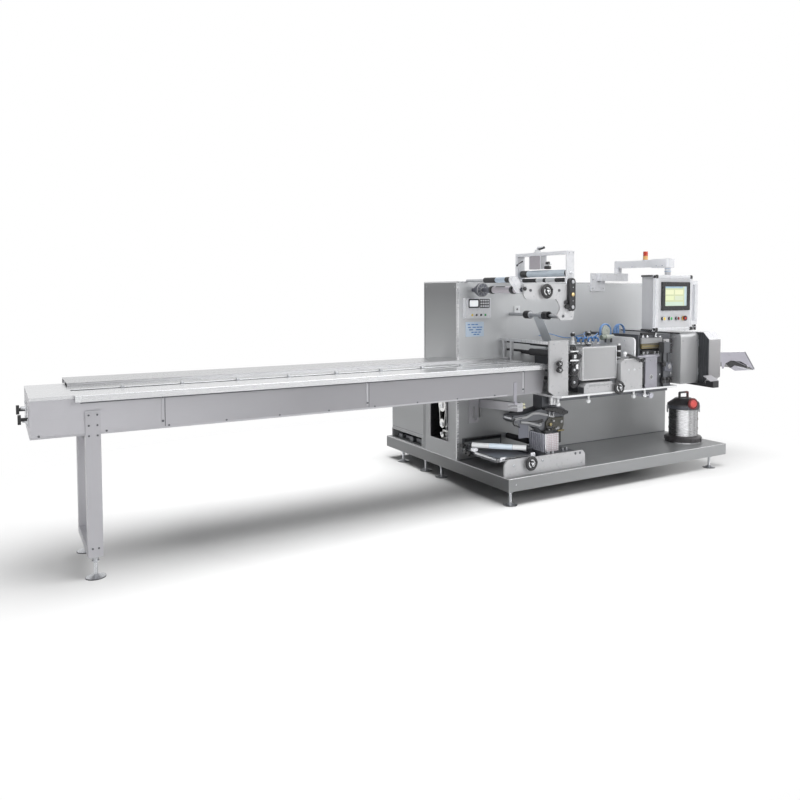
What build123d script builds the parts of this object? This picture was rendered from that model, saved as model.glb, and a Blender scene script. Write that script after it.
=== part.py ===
from build123d import *
import os

# Four side seal packing machine, in millimetres.
# X runs along the line from infeed to discharge, Y to the back, Z up.
# The origin is the floor contact of the levelling foot at the platform's front left corner.
# A value called place or front is a distance from the platform's left face or its front face.

# Fits
seat_gap = 0.3

# Platform and levelling feet
platform_length = 2170.0
platform_height = 86.0
platform_clearance = 100.0
foot_inset = 50.0
foot_inset_right = 140.0
foot_disc_diameter = 95.0
foot_disc_height = 14.0
foot_stem_diameter = 20.0
foot_nut_height = 12.0
foot_nut_across = 34.0
rear_foot_rows = (919.0, 1155.0, 1526.0)

# Cabinets
wall_depth = 625.0
cabinet_depth = 475.0
cabinet_height = 1294.0
rear_cabinet_depth = 530.0
rear_cabinet_height = 614.0
rear_ledge = 100.0
edge_round = 8.0
window_front = 740.0
window_width = 260.0
window_rise = 118.0
window_height = 368.0
window_depth = 180.0
slot_front = 1130.0
slot_width = 490.0
slot_rise = 11.0
slot_height = 70.0
slot_depth = 160.0

# Toothed belt drive behind the window
pulley_big_radius = 46.0
pulley_small_radius = 28.0
pulley_big_rise = 256.0
pulley_small_rise = 116.0
pulley_width = 34.0
pulley_inset = 24.0
belt_thickness = 5.0
belt_tooth = 3.0
belt_tooth_pitch = 10.0
flange_thickness = 3.0
gearbox_height = 60.0

# Wall mounted control box
control_place = 51.0
control_width = 228.0
control_height = 147.0
control_drop = 120.0
control_depth = 24.0
display_width = 98.0
display_height = 68.0
keypad_width = 88.0
key_relief = 5.0
label_plate_width = 160.0
label_plate_height = 107.0
label_plate_gap = 26.0
control_knob_radius = 6.0
control_knob_count = 4

# Infeed conveyor
conveyor_length = 2690.0
tail_cover_length = 190.0
tail_cover_step = 3.0
trough_front = 115.0
trough_width = 575.0
trough_clearance = 711.0
trough_depth = 193.0
trough_wall = 4.0
trough_flange = 30.0
trough_run_on = 365.0
trough_end_slant = 35.0
rail_sheet = 4.0
rail_lip = 31.0
rail_reach = 35.0
chain_slot_front = 291.0
chain_slot_width = 54.0
table_width = 172.0
back_rail_width = 313.0
back_rail_rise = 16.0
cross_bar_width = 40.0
cross_bar_height = 36.0
cross_bar_inset = 160.0
cross_bar_count = 5
sprocket_radius = 42.0
sprocket_axle_radius = 12.0
chain_width = 24.0
chain_thickness = 10.0
chain_drop = 22.0
pusher_count = 9
pusher_length = 12.0
pusher_rise = 14.0
tail_knob_radius = 25.0
tail_knob_thickness = 14.0
tail_knob_stem = 31.0
tail_knob_lobes = 6
tail_knob_rows = ((200.0, 87.0), (450.0, 101.0))

# Conveyor leg
leg_inset = 234.0
leg_width = 68.0
leg_post = 50.0
leg_plate = 6.0
leg_plate_lap = 118.0
leg_span = 485.0
leg_tie_height = 40.0
leg_clearance = 108.0
gusset_size = 90.0

# Working deck and its studs
deck_place = 410.0
deck_length = 1176.0
deck_height = 697.0
deck_thickness = 14.0
deck_corner = 60.0
stud_length = 62.0
stud_radius = 9.0
stud_head_radius = 15.0
stud_places = (462.0, 740.0, 1185.0, 1300.0)
lift_cylinder_radius = 24.0
lift_cylinder_length = 60.0

# Infeed stand with its side plate, frame and rubber rollers
infeed_plate_place = 358.0
infeed_plate_width = 167.0
infeed_plate_front = 30.0
infeed_plate_thickness = 15.0
infeed_plate_height = 377.0
infeed_plate_foot = 55.0
infeed_tie = 20.0
infeed_tie_place = 378.0
infeed_tie_drop = 29.0
infeed_post_rows = (482.0, 568.0)
infeed_roller_place = 450.0
infeed_roller_drops = (38.0, 98.0)
infeed_roller_radii = (14.0, 25.0)
infeed_shaft_radius = 9.0
infeed_roller_length = 290.0
fitting_radius = 24.0
fitting_length = 22.0
fitting_slot = 8.0
fitting_drops = (147.0, 202.0)
fitting_place = 460.0

# Side seal station
seal_cover_place = 650.0
seal_cover_width = 335.0
seal_cover_front = 30.0
seal_cover_depth = 50.0
seal_cover_rise = 88.0
seal_cover_height = 235.0
seal_housing_inset = 20.0
seal_housing_depth = 220.0
seal_housing_drop = 30.0
seal_roller_place = 592.0
seal_roller_radius = 40.0
seal_roller_rises = (82.0, 168.0, 254.0)
seal_roller_shaft = 14.0
seal_band_width = 26.0
seal_band_count = 3
seal_post_width = 22.0
knob_places = (776.0, 933.0)
knob_row = 270.0
knob_radius = 16.0
knob_stem_radius = 9.0
knob_lift = 95.0
seal_plate_place = 1128.0
seal_plate_thickness = 12.0
seal_plate_height = 375.0
seal_plate_depth = 498.0
seal_plate_round = 30.0
adjuster_place = 652.0
adjuster_width = 266.0
adjuster_height = 72.0
adjuster_arm = 67.0
adjuster_depth = 62.0
adjuster_slope = 22.0
handwheel_radius = 44.0
handwheel_rim = 9.0
handwheel_reach = 26.0
handwheel_hub = 17.0
deck_wheel_place = 962.0
deck_wheel_rise = 26.0

# Air hoses
hose_radius = 4.0
hose_loop_radius = 52.0
hose_spacing = 13.0
hose_foot = 16.0

# End seal station
end_box_place = 994.0
end_box_width = 217.0
end_box_height = 222.0
end_box_depth = 60.0
end_box_chamfer = 26.0
end_plate_gap = 54.0
end_plate_width = 122.0
end_plate_thickness = 14.0
end_plate_hole_rise = 76.0
end_plate_hole = 12.0
end_rod_radius = 9.0
drive_block_width = 143.0
jaw_place = 1450.0
jaw_rise = 293.0
jaw_radius = 17.0
jaw_block_width = 60.0
jaw_block_height = 80.0
beam_place = 1225.0
beam_length = 350.0
beam_rise = 343.0
beam_height = 48.0
beam_leg = 30.0
lever_length = 176.0
lever_rise = 58.0

# Cutter covers, cutter base, tray and discharge chute
cutter_gap = 35.0
cutter_width = 198.0
cutter_lift = 5.0
cutter_height = 392.0
cutter_round = 40.0
outfeed_width = 136.0
outfeed_reach = 100.0
outfeed_chamfer = 52.0
cutter_base_inset = 149.0
cutter_base_width = 102.0
cutter_base_reach = 170.0
cutter_base_thickness = 25.0
tray_reach = 40.0
tray_height = 33.0
tray_sheet = 4.0
chute_front = 120.0
chute_width = 380.0
chute_sheet = 3.0
chute_drop = 172.0
chute_length = 600.0
chute_tip = 735.0
chute_fall = 175.0
chute_flat_depth = 96.0

# Upper film unit
film_plate_place = 139.0
film_plate_width = 412.0
film_plate_front = 30.0
film_plate_thickness = 15.0
film_plate_drop = 25.0
film_plate_height = 99.0
film_arm_drop = 144.0
film_arm_width = 117.0
film_arm_reach = 21.0
film_plate_round = 34.0
portal_place = 540.0
portal_width = 65.0
portal_post = 28.0
portal_bar = 22.0
portal_rise = 230.0
portal_wall_gap = 17.0
clamp_block_width = 52.0
clamp_block_depth = 136.0
clamp_block_row = 318.0
clamp_lift = 38.0
clamp_knob_radius = 22.0
film_roll_rise = 79.0
film_roll_radius = 25.0
guide_roller_rise = 32.0
guide_roller_radius = 13.0
reel_place = 139.0
reel_drop = 37.0
reel_radius = 27.0
reel_flange_radius = 50.0
tension_place = 86.0
tension_rise = 29.0
tension_radius = 17.0
web_shaft_place = 470.0
web_shaft_drop = 215.0
web_shaft_radius = 12.0
web_collar_radius = 26.0
web_width = 104.0
web_row = 268.0
web_thickness = 2.0
web_collar_length = 60.0
web_collar_gap = 4.0
collar_radius = 32.0
collar_width = 20.0
collar_slot = 10.0
upper_wheel_place = 312.0
upper_wheel_drop = 47.0
guard_place = 534.0
guard_drop = 181.0
guard_length = 224.0
guard_radius = 26.0
guard_thickness = 26.0
guard_hub = 12.0

# Lower film unit
slide_length = 700.0
slide_front = 45.0
slide_thickness = 15.0
slide_height = 116.0
slide_step = 6.0
lower_wheel_place = 202.0
lower_wheel_rise = 77.0
carriage_place = 392.0
carriage_width = 248.0
carriage_depth = 280.0
block_place = 398.0
block_width = 126.0
block_front = 120.0
block_depth = 170.0
block_rise = 240.0
swing_rows = (150.0, 250.0)
swing_thickness = 16.0
swing_gap = 68.0
swing_reach = 340.0
swing_run = 133.0
swing_tip = 36.0
swing_round = 12.0
swing_roller_radius = 14.0
swing_pivot_place = 480.0
swing_body_width = 190.0
swing_hanger_width = 120.0
turning_place = 45.0
turning_length = 340.0
turning_front = 200.0
turning_rise = 63.0
turning_bar = 26.0
turning_back_height = 96.0
diagonal_radius = 18.0
diagonal_lift = 12.0
idler_place = 440.0
idler_rise = 144.0
idler_radius = 20.0
idler_length = 249.0
support_place = 190.0
support_width = 45.0
support_front = 160.0
support_rise = 404.0
support_height = 60.0
support_fall = 30.0
wall_bracket_width = 80.0
wall_bracket_height = 200.0
wall_bracket_place = 100.0

# Operator panel on its swinging arm
panel_place = 1341.0
panel_width = 402.0
panel_depth = 147.0
panel_gap = 18.0
panel_height = 418.0
profile_size = 26.0
screen_inset = 64.0
screen_width = 302.0
screen_height = 212.0
screen_margin = 52.0
screen_relief = 6.0
bezel_width = 30.0
button_rise = 93.0
button_radius = 13.0
button_relief = 10.0
mushroom_radius = 19.0
handle_reach = 92.0
handle_grip = 30.0
handle_drop = 40.0
arm_place = 1550.0
arm_pivot_front = 595.0
arm_plate_thickness = 12.0
arm_plate_lap = 69.0
arm_link_height = 63.0
arm_link_reach = 217.0
arm_pivot_height = 42.0
arm_height = 54.0
arm_width = 60.0
arm_head_width = 84.0
arm_head_length = 170.0
neck_front = 75.0
neck_radius = 22.0
neck_length = 59.0
beacon_front = 300.0
beacon_radius = 19.0
beacon_height = 70.0

# Waste collector
collector_inset = 200.0
collector_front = 262.0
collector_base_radius = 144.0
collector_base_height = 44.0
collector_drum_radius = 114.0
collector_drum_height = 226.0
collector_head_radius = 126.0
collector_head_height = 84.0
collector_handle_span = 110.0
collector_handle_height = 52.0
collector_bar = 14.0
latch_radius = 36.0

# Worked out from the values above
left = -foot_inset
front = -foot_inset
right = left + platform_length
platform_top = platform_clearance + platform_height
wall_y = front + wall_depth
cabinet_back = wall_y + cabinet_depth
cabinet_top = platform_top + cabinet_height
rear_back = cabinet_back + rear_cabinet_depth
platform_back = rear_back + rear_ledge
deck_top = deck_height
deck_low = deck_top - deck_thickness
trough_low = trough_clearance
trough_high = trough_low + trough_depth
trough_y = front + trough_front
trough_back = trough_y + trough_width
tail_x = left - conveyor_length
rail_x = tail_x + tail_cover_length
rail_top = trough_high + rail_sheet
rail_end = left + trough_run_on + trough_end_slant
slot_y = front + chain_slot_front
table_y = slot_y + chain_slot_width
table_back = table_y + table_width
film_high = cabinet_top - film_plate_drop


def block(x_low, x_high, y_low, y_high, z_low, z_high, mode=Mode.ADD):
    """A box from its low corner to its high corner."""
    with BuildSketch(Plane.XY.offset(z_low)) as profile:
        with Locations(((x_low + x_high) / 2, (y_low + y_high) / 2)):
            Rectangle(x_high - x_low, y_high - y_low)
    extrude(profile.sketch, amount=z_high - z_low, mode=mode)


def rod_x(x_low, x_high, y, z, radius, mode=Mode.ADD):
    """A round bar along X."""
    with BuildSketch(Plane.YZ.offset(x_low)) as profile:
        with Locations((y, z)):
            Circle(radius)
    extrude(profile.sketch, amount=x_high - x_low, mode=mode)


def rod_y(y_low, y_high, x, z, radius, mode=Mode.ADD):
    """A round bar along Y."""
    with BuildSketch(Plane.XZ.offset(-y_high)) as profile:
        with Locations((x, z)):
            Circle(radius)
    extrude(profile.sketch, amount=y_high - y_low, mode=mode)


def rod_z(z_low, z_high, x, y, radius, mode=Mode.ADD):
    """A round bar along Z."""
    with BuildSketch(Plane.XY.offset(z_low)) as profile:
        with Locations((x, y)):
            Circle(radius)
    extrude(profile.sketch, amount=z_high - z_low, mode=mode)


def front_plate(points, y_low, y_high, mode=Mode.ADD):
    """A plate that faces the operator: an outline in X and Z, from y_low to y_high."""
    with BuildSketch(Plane.XZ.offset(-y_high)) as profile:
        with BuildLine():
            Polyline(*points, close=True)
        make_face()
    extrude(profile.sketch, amount=y_high - y_low, mode=mode)


def cross_plate(points, x_low, x_high, mode=Mode.ADD):
    """A plate across the line: an outline in Y and Z, from x_low to x_high."""
    with BuildSketch(Plane.YZ.offset(x_low)) as profile:
        with BuildLine():
            Polyline(*points, close=True)
        make_face()
    extrude(profile.sketch, amount=x_high - x_low, mode=mode)


def collar(y, x, z, radius):
    """A split clamping collar on a shaft along Y, open at the operator's right."""
    rod_y(y, y + collar_width, x, z, radius)
    block(x, x + radius, y, y + collar_width, z - collar_slot / 2, z + collar_slot / 2,
          mode=Mode.SUBTRACT)


def foot(x, y, top):
    """A levelling foot: a coned disc, a stem and a lock nut under what it carries."""
    disc = foot_disc_diameter / 2
    stem = foot_stem_diameter / 2
    with BuildSketch(Plane(origin=(x, y, 0), x_dir=(1, 0, 0), z_dir=(0, -1, 0))) as profile:
        with BuildLine():
            Polyline((0, 0), (disc, 0), (disc, foot_disc_height / 3), (stem * 2, foot_disc_height),
                     (stem, foot_disc_height * 1.4), (stem, top), (0, top), close=True)
        make_face()
    revolve(profile.sketch, axis=Axis((x, y, 0), (0, 0, 1)))
    with BuildSketch(Plane.XY.offset(top - foot_nut_height)) as nut:
        with Locations((x, y)):
            RegularPolygon(foot_nut_across / 2, 6)
    extrude(nut.sketch, amount=foot_nut_height)


def handwheel(x, z, y_seat):
    """A dished handwheel: a round rim, a thin web and a hub on a shaft out of y_seat."""
    rim_y = y_seat - handwheel_reach
    rim = handwheel_rim
    ring = handwheel_radius - rim
    with BuildSketch(Plane(origin=(x, rim_y, z), x_dir=(1, 0, 0), z_dir=(0, 0, 1))) as profile:
        with BuildLine():
            Polyline((0, -rim * 1.5), (handwheel_hub, -rim * 1.5), (handwheel_hub, 0),
                     (ring, -rim * 0.3), (ring, rim * 0.5), (handwheel_hub, rim * 0.8),
                     (handwheel_hub, handwheel_reach - seat_gap), (0, handwheel_reach - seat_gap),
                     close=True)
        make_face()
        with Locations((ring, 0)):
            Circle(rim)
    revolve(profile.sketch, axis=Axis((x, rim_y, z), (0, 1, 0)))


def pulley(x, y, z, radius):
    """A toothed pulley along X with a flange at each side."""
    teeth = int(2 * 3.14159 * radius / belt_tooth_pitch)
    with BuildSketch(Plane.YZ.offset(x)) as profile:
        with Locations((y, z)):
            Circle(radius)
            with PolarLocations(radius, teeth):
                Rectangle(belt_tooth * 2, belt_tooth_pitch / 2.2, mode=Mode.SUBTRACT)
    extrude(profile.sketch, amount=pulley_width)
    for flange_x in (x, x + pulley_width - flange_thickness):
        rod_x(flange_x, flange_x + flange_thickness, y, z, radius + belt_thickness)


# Platform: one flat slab that carries both cabinets
with BuildPart() as base_frame:
    block(left, right, front, platform_back, platform_clearance, platform_top)

# Levelling feet under the platform and under the conveyor's leg
leg_x = tail_x + leg_inset
leg_front = trough_y - leg_plate
leg_back = leg_front + leg_span
leg_right = leg_x + leg_width
leg_middle = leg_x + leg_width / 2
with BuildPart() as levelling_feet:
    for foot_x in (0.0, right - foot_inset_right):
        for foot_y in (foot_inset,) + rear_foot_rows:
            foot(foot_x, front + foot_y, platform_clearance)
    foot(leg_middle, trough_y + leg_post / 2, leg_clearance)
    foot(leg_middle, leg_back - leg_post / 2, leg_clearance)

# Main cabinet: the tall housing whose front wall carries the packing units
window_y = front + window_front
window_z = platform_top + window_rise
with BuildPart() as main_cabinet:
    block(left, right, wall_y, cabinet_back, platform_top, cabinet_top)
    fillet(main_cabinet.edges().filter_by(Axis.Z), radius=edge_round)
    block(left, left + window_depth, window_y, window_y + window_width,
          window_z, window_z + window_height, mode=Mode.SUBTRACT)

# Rear cabinet: lower, with a slot low on its left side
with BuildPart() as rear_cabinet:
    block(left, right, cabinet_back, rear_back, platform_top, platform_top + rear_cabinet_height)
    fillet(rear_cabinet.edges().filter_by(Axis.Z).group_by(Axis.Y)[-1], radius=edge_round)
    block(left, left + slot_depth, front + slot_front, front + slot_front + slot_width,
          platform_top + slot_rise, platform_top + slot_rise + slot_height, mode=Mode.SUBTRACT)

# Toothed belt drive seen through the window in the cabinet's side
drive_y = window_y + window_width / 2
drive_x = left + pulley_inset
drive_back = left + window_depth
big_z = window_z + pulley_big_rise
small_z = window_z + pulley_small_rise
belt_low = drive_x + flange_thickness
belt_high = drive_x + pulley_width - flange_thickness
with BuildPart() as belt_drive:
    pulley(drive_x, drive_y, big_z, pulley_big_radius)
    pulley(drive_x, drive_y, small_z, pulley_small_radius)
    rod_x(drive_x - flange_thickness * 2, drive_back, drive_y, big_z, pulley_big_radius * 0.4)
    rod_x(drive_x - flange_thickness * 2, drive_back, drive_y, small_z, pulley_small_radius * 0.4)
    for side in (-1, 1):
        cross_plate([(drive_y + side * (pulley_small_radius - 1), small_z),
                     (drive_y + side * (pulley_small_radius + belt_thickness), small_z),
                     (drive_y + side * (pulley_big_radius + belt_thickness), big_z),
                     (drive_y + side * (pulley_big_radius - 1), big_z)],
                    belt_low, belt_high)
    block(drive_x + pulley_width, drive_back, drive_y - pulley_big_radius, drive_y + pulley_big_radius,
          window_z, window_z + gearbox_height)
    rod_x(drive_x, drive_x + pulley_width, drive_y, window_z + gearbox_height / 2, gearbox_height * 0.35)

# Control box on the front wall: a tray, a display frame, a keypad, knobs and a plate below
control_x = left + control_place
control_high = cabinet_top - control_drop
control_low = control_high - control_height
control_face = wall_y - control_depth
display_x = control_x + control_width / 9
display_z = control_high - display_height - key_relief
keypad_x = display_x + display_width
knob_step = control_width / (control_knob_count + 2)
with BuildPart() as control_box:
    block(control_x, control_x + control_width, control_face, wall_y, control_low, control_high)
    fillet(control_box.edges().filter_by(Axis.Y), radius=key_relief)
    block(display_x, keypad_x + keypad_width, control_face - key_relief, control_face,
          display_z, display_z + display_height)
    block(display_x + key_relief * 2, keypad_x - key_relief * 2, control_face - key_relief,
          control_face - key_relief / 2, display_z + key_relief * 2,
          display_z + display_height - key_relief * 2, mode=Mode.SUBTRACT)
    for knob in range(control_knob_count):
        rod_y(control_face - key_relief * 2, control_face, control_x + knob_step * (knob + 1.5),
              control_low + control_height / 6, control_knob_radius)
    block(control_x + key_relief * 4, control_x + key_relief * 4 + label_plate_width,
          wall_y - key_relief / 2, wall_y, control_low - label_plate_gap - label_plate_height,
          control_low - label_plate_gap)

# Conveyor trough: a folded channel that ends at the cabinet's side, its front half running on
trough_end = left - seat_gap
front_half_back = wall_y - seat_gap
run_on_end = left + trough_run_on
with BuildPart() as conveyor_trough:
    front_plate([(tail_x, trough_low), (run_on_end, trough_low), (rail_end, trough_high),
                 (tail_x, trough_high)], trough_y, trough_y + trough_wall)
    block(tail_x, trough_end, trough_back - trough_wall, trough_back, trough_low, trough_high)
    block(tail_x, trough_end, trough_y, trough_back, trough_low, trough_low + trough_wall)
    block(trough_end, run_on_end, trough_y, front_half_back, trough_low, trough_low + trough_wall)
    block(tail_x, tail_x + trough_wall, trough_y, trough_back, trough_low, trough_high)
    block(tail_x, rail_end, trough_y, trough_y + trough_flange, trough_high - trough_wall, trough_high)
    block(tail_x, trough_end, trough_back - trough_flange, trough_back,
          trough_high - trough_wall, trough_high)
    bar_run = conveyor_length - tail_cover_length - cross_bar_inset * 2 - cross_bar_width
    bar_places = [(rail_x + cross_bar_inset + bar * bar_run / (cross_bar_count - 1), trough_back)
                  for bar in range(cross_bar_count)]
    bar_places.append((run_on_end - cross_bar_width * 2, front_half_back))
    for bar_x, bar_back in bar_places:
        block(bar_x, bar_x + cross_bar_width, trough_y, slot_y,
              trough_high - cross_bar_height, trough_high)
        block(bar_x, bar_x + cross_bar_width, table_y, bar_back,
              trough_high - cross_bar_height, trough_high)
    block(bar_x, bar_x + cross_bar_width, front_half_back - trough_wall, front_half_back,
          trough_low, trough_high)

# Tail cover over the first stretch of the trough: two bands with a step and a front lip
cover_middle = (trough_y + trough_back) / 2
with BuildPart() as tail_cover:
    cross_plate([(trough_y, trough_high), (trough_back, trough_high),
                 (trough_back, rail_top - tail_cover_step), (cover_middle, rail_top - tail_cover_step),
                 (cover_middle, rail_top), (trough_y - rail_sheet, rail_top),
                 (trough_y - rail_sheet, rail_top - rail_lip / 2), (trough_y, rail_top - rail_lip / 2)],
                tail_x, rail_x)

# Rails and table: the product slides on the table between the two rails
rail_front = trough_y - rail_reach
back_top = rail_top + back_rail_rise
back_rail_y = table_back + back_rail_width
with BuildPart() as front_rail:
    cross_plate([(rail_front, rail_top - rail_lip), (rail_front + rail_sheet, rail_top - rail_lip),
                 (rail_front + rail_sheet, rail_top - rail_sheet), (slot_y, rail_top - rail_sheet),
                 (slot_y, rail_top), (rail_front, rail_top)],
                rail_x, rail_end)
with BuildPart() as rear_table:
    block(rail_x, rail_end, table_y, table_back, trough_high, rail_top)
    cross_plate([(table_back, trough_high), (table_back + rail_sheet, trough_high),
                 (table_back + rail_sheet, back_top - rail_sheet),
                 (trough_back - trough_flange, back_top - rail_sheet),
                 (trough_back - trough_flange, trough_high), (trough_back, trough_high),
                 (trough_back, back_top - rail_sheet), (back_rail_y - rail_sheet, back_top - rail_sheet),
                 (back_rail_y - rail_sheet, back_top - rail_lip), (back_rail_y, back_top - rail_lip),
                 (back_rail_y, back_top), (table_back, back_top)],
                rail_x, trough_end)
    cross_plate([(table_back, trough_high), (table_back + rail_sheet, trough_high),
                 (table_back + rail_sheet, back_top - rail_sheet),
                 (front_half_back, back_top - rail_sheet), (front_half_back, back_top),
                 (table_back, back_top)],
                trough_end, rail_end)

# Pusher chain in its slot, one closed loop round two sprockets
chain_y = slot_y + chain_slot_width / 2
chain_z = rail_top - chain_drop - sprocket_radius
chain_start = rail_x + sprocket_radius * 2
chain_end = rail_end - sprocket_radius * 3
with BuildPart() as pusher_chain:
    with BuildSketch(Plane.XZ.offset(-(chain_y + chain_width / 2))) as loop:
        with Locations(((chain_start + chain_end) / 2, chain_z)):
            SlotCenterToCenter(chain_end - chain_start, (sprocket_radius + chain_thickness) * 2)
            SlotCenterToCenter(chain_end - chain_start, (sprocket_radius + seat_gap) * 2,
                               mode=Mode.SUBTRACT)
    extrude(loop.sketch, amount=chain_width)
    pusher_pitch = (chain_end - chain_start) / pusher_count
    for pusher in range(pusher_count):
        pusher_x = chain_start + (pusher + 0.5) * pusher_pitch
        front_plate([(pusher_x, chain_z + sprocket_radius + chain_thickness / 2),
                     (pusher_x + pusher_length * 2, chain_z + sprocket_radius + chain_thickness / 2),
                     (pusher_x + pusher_length, rail_top + pusher_rise),
                     (pusher_x, rail_top + pusher_rise)],
                    chain_y - chain_width / 2, chain_y + chain_width / 2)
with BuildPart() as chain_sprockets:
    for sprocket_x, axle_back in ((chain_start, trough_back - trough_wall),
                                  (chain_end, front_half_back - trough_wall)):
        rod_y(chain_y - chain_width / 4, chain_y + chain_width / 4, sprocket_x, chain_z, sprocket_radius)
        rod_y(trough_y + trough_wall, axle_back, sprocket_x, chain_z, sprocket_axle_radius)

# Leg: two posts with a tie, a plate that laps the trough and a gusset
with BuildPart() as conveyor_leg:
    block(leg_x, leg_right, leg_front, trough_y, leg_clearance, trough_low + leg_plate_lap)
    block(leg_x, leg_right, trough_y, trough_y + leg_post, leg_clearance, trough_low)
    block(leg_x, leg_right, leg_back - leg_post, leg_back, leg_clearance, trough_low)
    block(leg_x, leg_right, trough_y + leg_post, leg_back - leg_post,
          leg_clearance, leg_clearance + leg_tie_height)
    for corner_y, inward in ((trough_y + leg_post, 1), (leg_back - leg_post, -1)):
        cross_plate([(corner_y, trough_low - gusset_size), (corner_y, trough_low),
                     (corner_y + inward * gusset_size, trough_low)],
                    leg_middle - leg_plate, leg_middle + leg_plate)

# Star knobs on the conveyor's tail
with BuildPart() as tail_knobs:
    for knob_y, knob_rise in tail_knob_rows:
        rod_x(tail_x - tail_knob_stem, tail_x, front + knob_y, trough_low + knob_rise,
              tail_knob_radius * 0.35)
        with BuildSketch(Plane.YZ.offset(tail_x - tail_knob_stem - tail_knob_thickness)) as star:
            with Locations((front + knob_y, trough_low + knob_rise)):
                Circle(tail_knob_radius * 0.8)
                with PolarLocations(tail_knob_radius * 0.78, tail_knob_lobes):
                    Circle(tail_knob_radius * 0.22)
        extrude(star.sketch, amount=tail_knob_thickness)

# Working deck, a plate that stands out from the wall, with studs and a lift cylinder below
deck_x = left + deck_place
deck_right = deck_x + deck_length
with BuildPart() as deck_plate:
    with BuildSketch(Plane.XY.offset(deck_low)) as deck:
        with BuildLine():
            Polyline((deck_x, front + deck_corner), (deck_x + deck_corner / 2, front),
                     (deck_right, front), (deck_right, wall_y), (deck_x, wall_y), close=True)
        make_face()
    extrude(deck.sketch, amount=deck_thickness)
    for stud in stud_places:
        rod_z(deck_low - stud_length, deck_low, left + stud, front + deck_corner, stud_radius)
        rod_z(deck_low - stud_length, deck_low - stud_length * 0.7, left + stud,
              front + deck_corner, stud_head_radius)
    rod_z(deck_low - lift_cylinder_length, deck_low, deck_x + deck_corner, front + deck_corner * 2.2,
          lift_cylinder_radius)

# Infeed stand: side plate with two slotted fittings, a frame and two rollers
plate_x = left + infeed_plate_place
plate_y = front + infeed_plate_front
plate_back = plate_y + infeed_plate_thickness
plate_top = deck_top + infeed_plate_height
plate_right = plate_x + infeed_plate_width
with BuildPart() as infeed_side_plate:
    front_plate([(plate_x, deck_top + infeed_plate_foot * 0.6), (plate_x + infeed_plate_foot, deck_top),
                 (plate_right, deck_top), (plate_right, plate_top), (plate_x, plate_top)],
                plate_y, plate_back)
    for drop in fitting_drops:
        fitting_z = plate_top - drop
        rod_y(plate_y - fitting_length, plate_y, left + fitting_place, fitting_z, fitting_radius)
        block(left + fitting_place - fitting_radius, left + fitting_place + fitting_radius,
              plate_y - fitting_length, plate_y - fitting_length * 0.7,
              fitting_z - fitting_slot / 2, fitting_z + fitting_slot / 2, mode=Mode.SUBTRACT)
tie_x = left + infeed_tie_place
tie_low = plate_top - infeed_tie_drop
with BuildPart() as infeed_frame:
    block(tie_x, tie_x + infeed_tie, plate_back, wall_y, tie_low, tie_low + infeed_tie)
    for post_y, post_foot in zip(infeed_post_rows, (rail_top, back_top)):
        block(tie_x, tie_x + infeed_tie, front + post_y, front + post_y + infeed_tie, post_foot, tie_low)
with BuildPart() as infeed_rollers:
    for drop, roller_radius in zip(infeed_roller_drops, infeed_roller_radii):
        rod_y(plate_back, wall_y, left + infeed_roller_place, plate_top - drop, infeed_shaft_radius)
        rod_y(plate_back + infeed_shaft_radius, plate_back + infeed_shaft_radius + infeed_roller_length,
              left + infeed_roller_place, plate_top - drop, roller_radius)

# Side seal station: a cover, the sealing rollers at its left, a housing with two knobs
cover_x = left + seal_cover_place
cover_right = cover_x + seal_cover_width
cover_y = front + seal_cover_front
cover_back = cover_y + seal_cover_depth
cover_low = deck_top + seal_cover_rise
cover_high = cover_low + seal_cover_height
housing_back = cover_back + seal_housing_depth
housing_top = cover_high - seal_housing_drop
with BuildPart() as seal_cover:
    block(cover_x, cover_right, cover_y, cover_back, cover_low, cover_high)
    fillet(seal_cover.edges().filter_by(Axis.Z).group_by(Axis.Y)[0], radius=edge_round)
with BuildPart() as seal_housing:
    block(cover_x + seal_housing_inset, cover_right - seal_housing_inset, cover_back, housing_back,
          deck_top, housing_top)
    block(cover_x + seal_housing_inset * 3, cover_right - seal_housing_inset * 3, housing_back, wall_y,
          cover_low + seal_housing_inset, housing_top - seal_housing_inset)
    for knob_place in knob_places:
        rod_z(housing_top, housing_top + knob_lift * 0.3, left + knob_place, front + knob_row,
              knob_stem_radius * 2)
with BuildPart() as seal_knobs:
    for knob_place in knob_places:
        rod_z(housing_top + knob_lift * 0.3, housing_top + knob_lift, left + knob_place,
              front + knob_row, knob_stem_radius)
        rod_z(housing_top + knob_lift, housing_top + knob_lift + knob_radius * 1.6, left + knob_place,
              front + knob_row, knob_radius)
    fillet(seal_knobs.edges().filter_by(GeomType.CIRCLE).group_by(Axis.Z)[-1], radius=knob_radius * 0.5)
roller_x = left + seal_roller_place
band_step = seal_housing_depth / (seal_band_count * 2)
with BuildPart() as seal_wheels:
    for rise in seal_roller_rises:
        rod_y(cover_y, wall_y, roller_x, deck_top + rise, seal_roller_shaft)
        for band in range(seal_band_count):
            band_y = cover_y + seal_roller_shaft + band * band_step * 2
            rod_y(band_y, band_y + seal_band_width, roller_x, deck_top + rise, seal_roller_radius)
    block(roller_x - seal_post_width / 2, roller_x + seal_post_width / 2, cover_back + seal_housing_depth,
          housing_back + seal_post_width, deck_top, deck_top + seal_roller_rises[-1] + seal_roller_radius)
seal_plate_x = left + seal_plate_place
seal_plate_right = seal_plate_x + seal_plate_thickness
seal_plate_top = deck_top + seal_plate_height
box_high = deck_top + end_box_height
plate_front = front + seat_gap
plate_step = front + end_box_depth + edge_round
hose_y = cover_back + seal_housing_depth
arch_low = seal_plate_top - hose_foot * 2
arch_x = seal_plate_x + seal_plate_thickness / 2
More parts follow.
